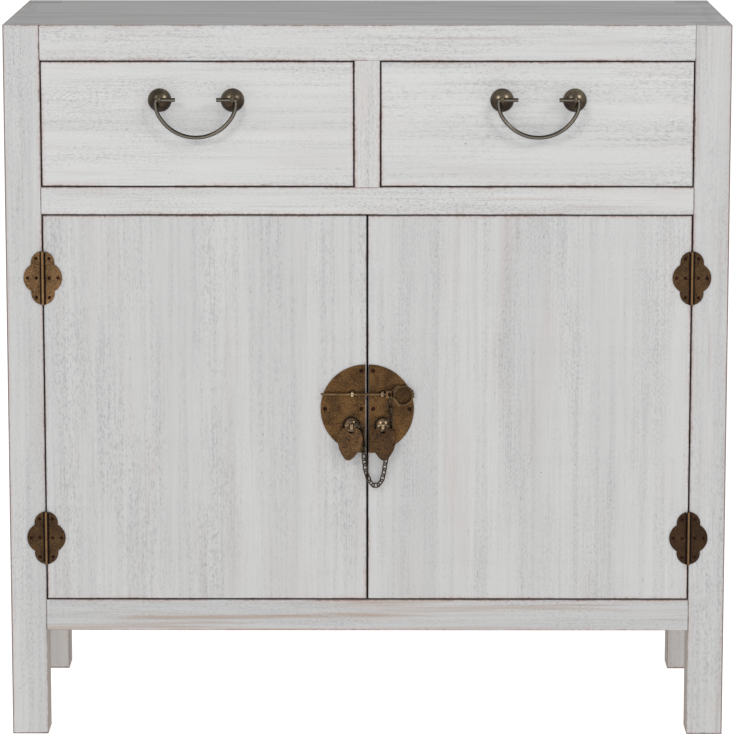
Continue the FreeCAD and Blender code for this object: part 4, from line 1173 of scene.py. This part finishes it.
# %% [markdown]
# ## The studio
# The photograph is a shop picture: white ground, two soft lamps in front, one on each side, and a long lens
# from a little above. A real sweep of paper would need a lamp of its own; here the floor glows instead, so
# that it stays pale all over. The lamps are large, which keeps the shadows soft.

# %% Floor
FLOOR_HALF = 30.0
PAPER_DARK, PAPER_LIGHT = colour(198, 198, 198), colour(204, 204, 204)
PAPER_GLOW, PAPER_ROUGH = 0.85, 0.9
WHITE = (1, 1, 1, 1)
floor_mesh = bpy.data.meshes.new("studio_floor")
floor_corners = np.array([[-1, -1, 0], [1, -1, 0], [1, 1, 0], [-1, 1, 0]]) * FLOOR_HALF
floor_mesh.from_pydata(floor_corners.tolist(), [], [(0, 1, 2, 3)])
floor = added("studio_floor", floor_mesh)
paper, paper_shader, paper_place = start_material("white_paper")
finish_material(paper_shader, base_color=paper_place.noise((2, 2, 2)).blend(PAPER_DARK, PAPER_LIGHT),
                roughness=PAPER_ROUGH, emission_color=WHITE, emission_strength=PAPER_GLOW)
floor_mesh.materials.append(paper)
print("floor", 2 * FLOOR_HALF, "m square")

# %% Lamps and sky
AIM = np.array([0.0, 0.0, 0.42])
LAMP_SIZE = 0.8
LAMPS = {"soft_box_right": ((2.1, -2.0, 2.2), 26), "soft_box_left": ((-1.75, -2.55, 2.1), 22)}
SKY_GLOW = 0.46


def lamp(name, place, size, watts):
    """A square soft box that faces the middle of the cabinet: turned about Z to the line from lamp to aim,
    and tilted by that line's slope."""
    light = bpy.data.lights.new(name, "AREA")
    light.size = size
    light.energy = watts
    box = added(name, light)
    box.location = place
    toward = AIM - np.array(place)
    box.rotation_euler = (math.pi / 2 + math.atan2(toward[2], math.hypot(toward[0], toward[1])), 0,
                          math.atan2(toward[1], toward[0]) - math.pi / 2)
    print(name, watts, "W at", round(float(np.linalg.norm(toward)), 2), "m")


for lamp_name, (place, watts) in LAMPS.items():
    lamp(lamp_name, place, LAMP_SIZE, watts)
world = bpy.data.worlds.new("studio")
bpy.context.scene.world = world
world.use_nodes = True
sky = world.node_tree.nodes["Background"]
sky.inputs["Color"].default_value = WHITE
sky.inputs["Strength"].default_value = SKY_GLOW
bpy.context.scene.view_settings.view_transform = "Standard"

# %% Camera
IMAGE_PIXELS = 736
FOCAL_PIXELS = 3976
SENSOR = 36.0
ASIDE, OUT, UP = 0.016, 4.355, 1.165
DOWN = math.radians(9.72)
TURNED = math.radians(0.2)
FARTHEST = 100
camera_data = bpy.data.cameras.new("camera")
camera_data.sensor_width = SENSOR
camera_data.lens = FOCAL_PIXELS / IMAGE_PIXELS * SENSOR
camera_data.clip_end = FARTHEST
camera = added("camera", camera_data)
camera.location = (ASIDE, FRONT * MM - OUT, UP)
camera.rotation_euler = (math.pi / 2 - DOWN, 0, TURNED)
bpy.context.scene.camera = camera
print("camera", [round(v, 3) for v in camera.location], "lens", round(camera_data.lens, 1), "mm")
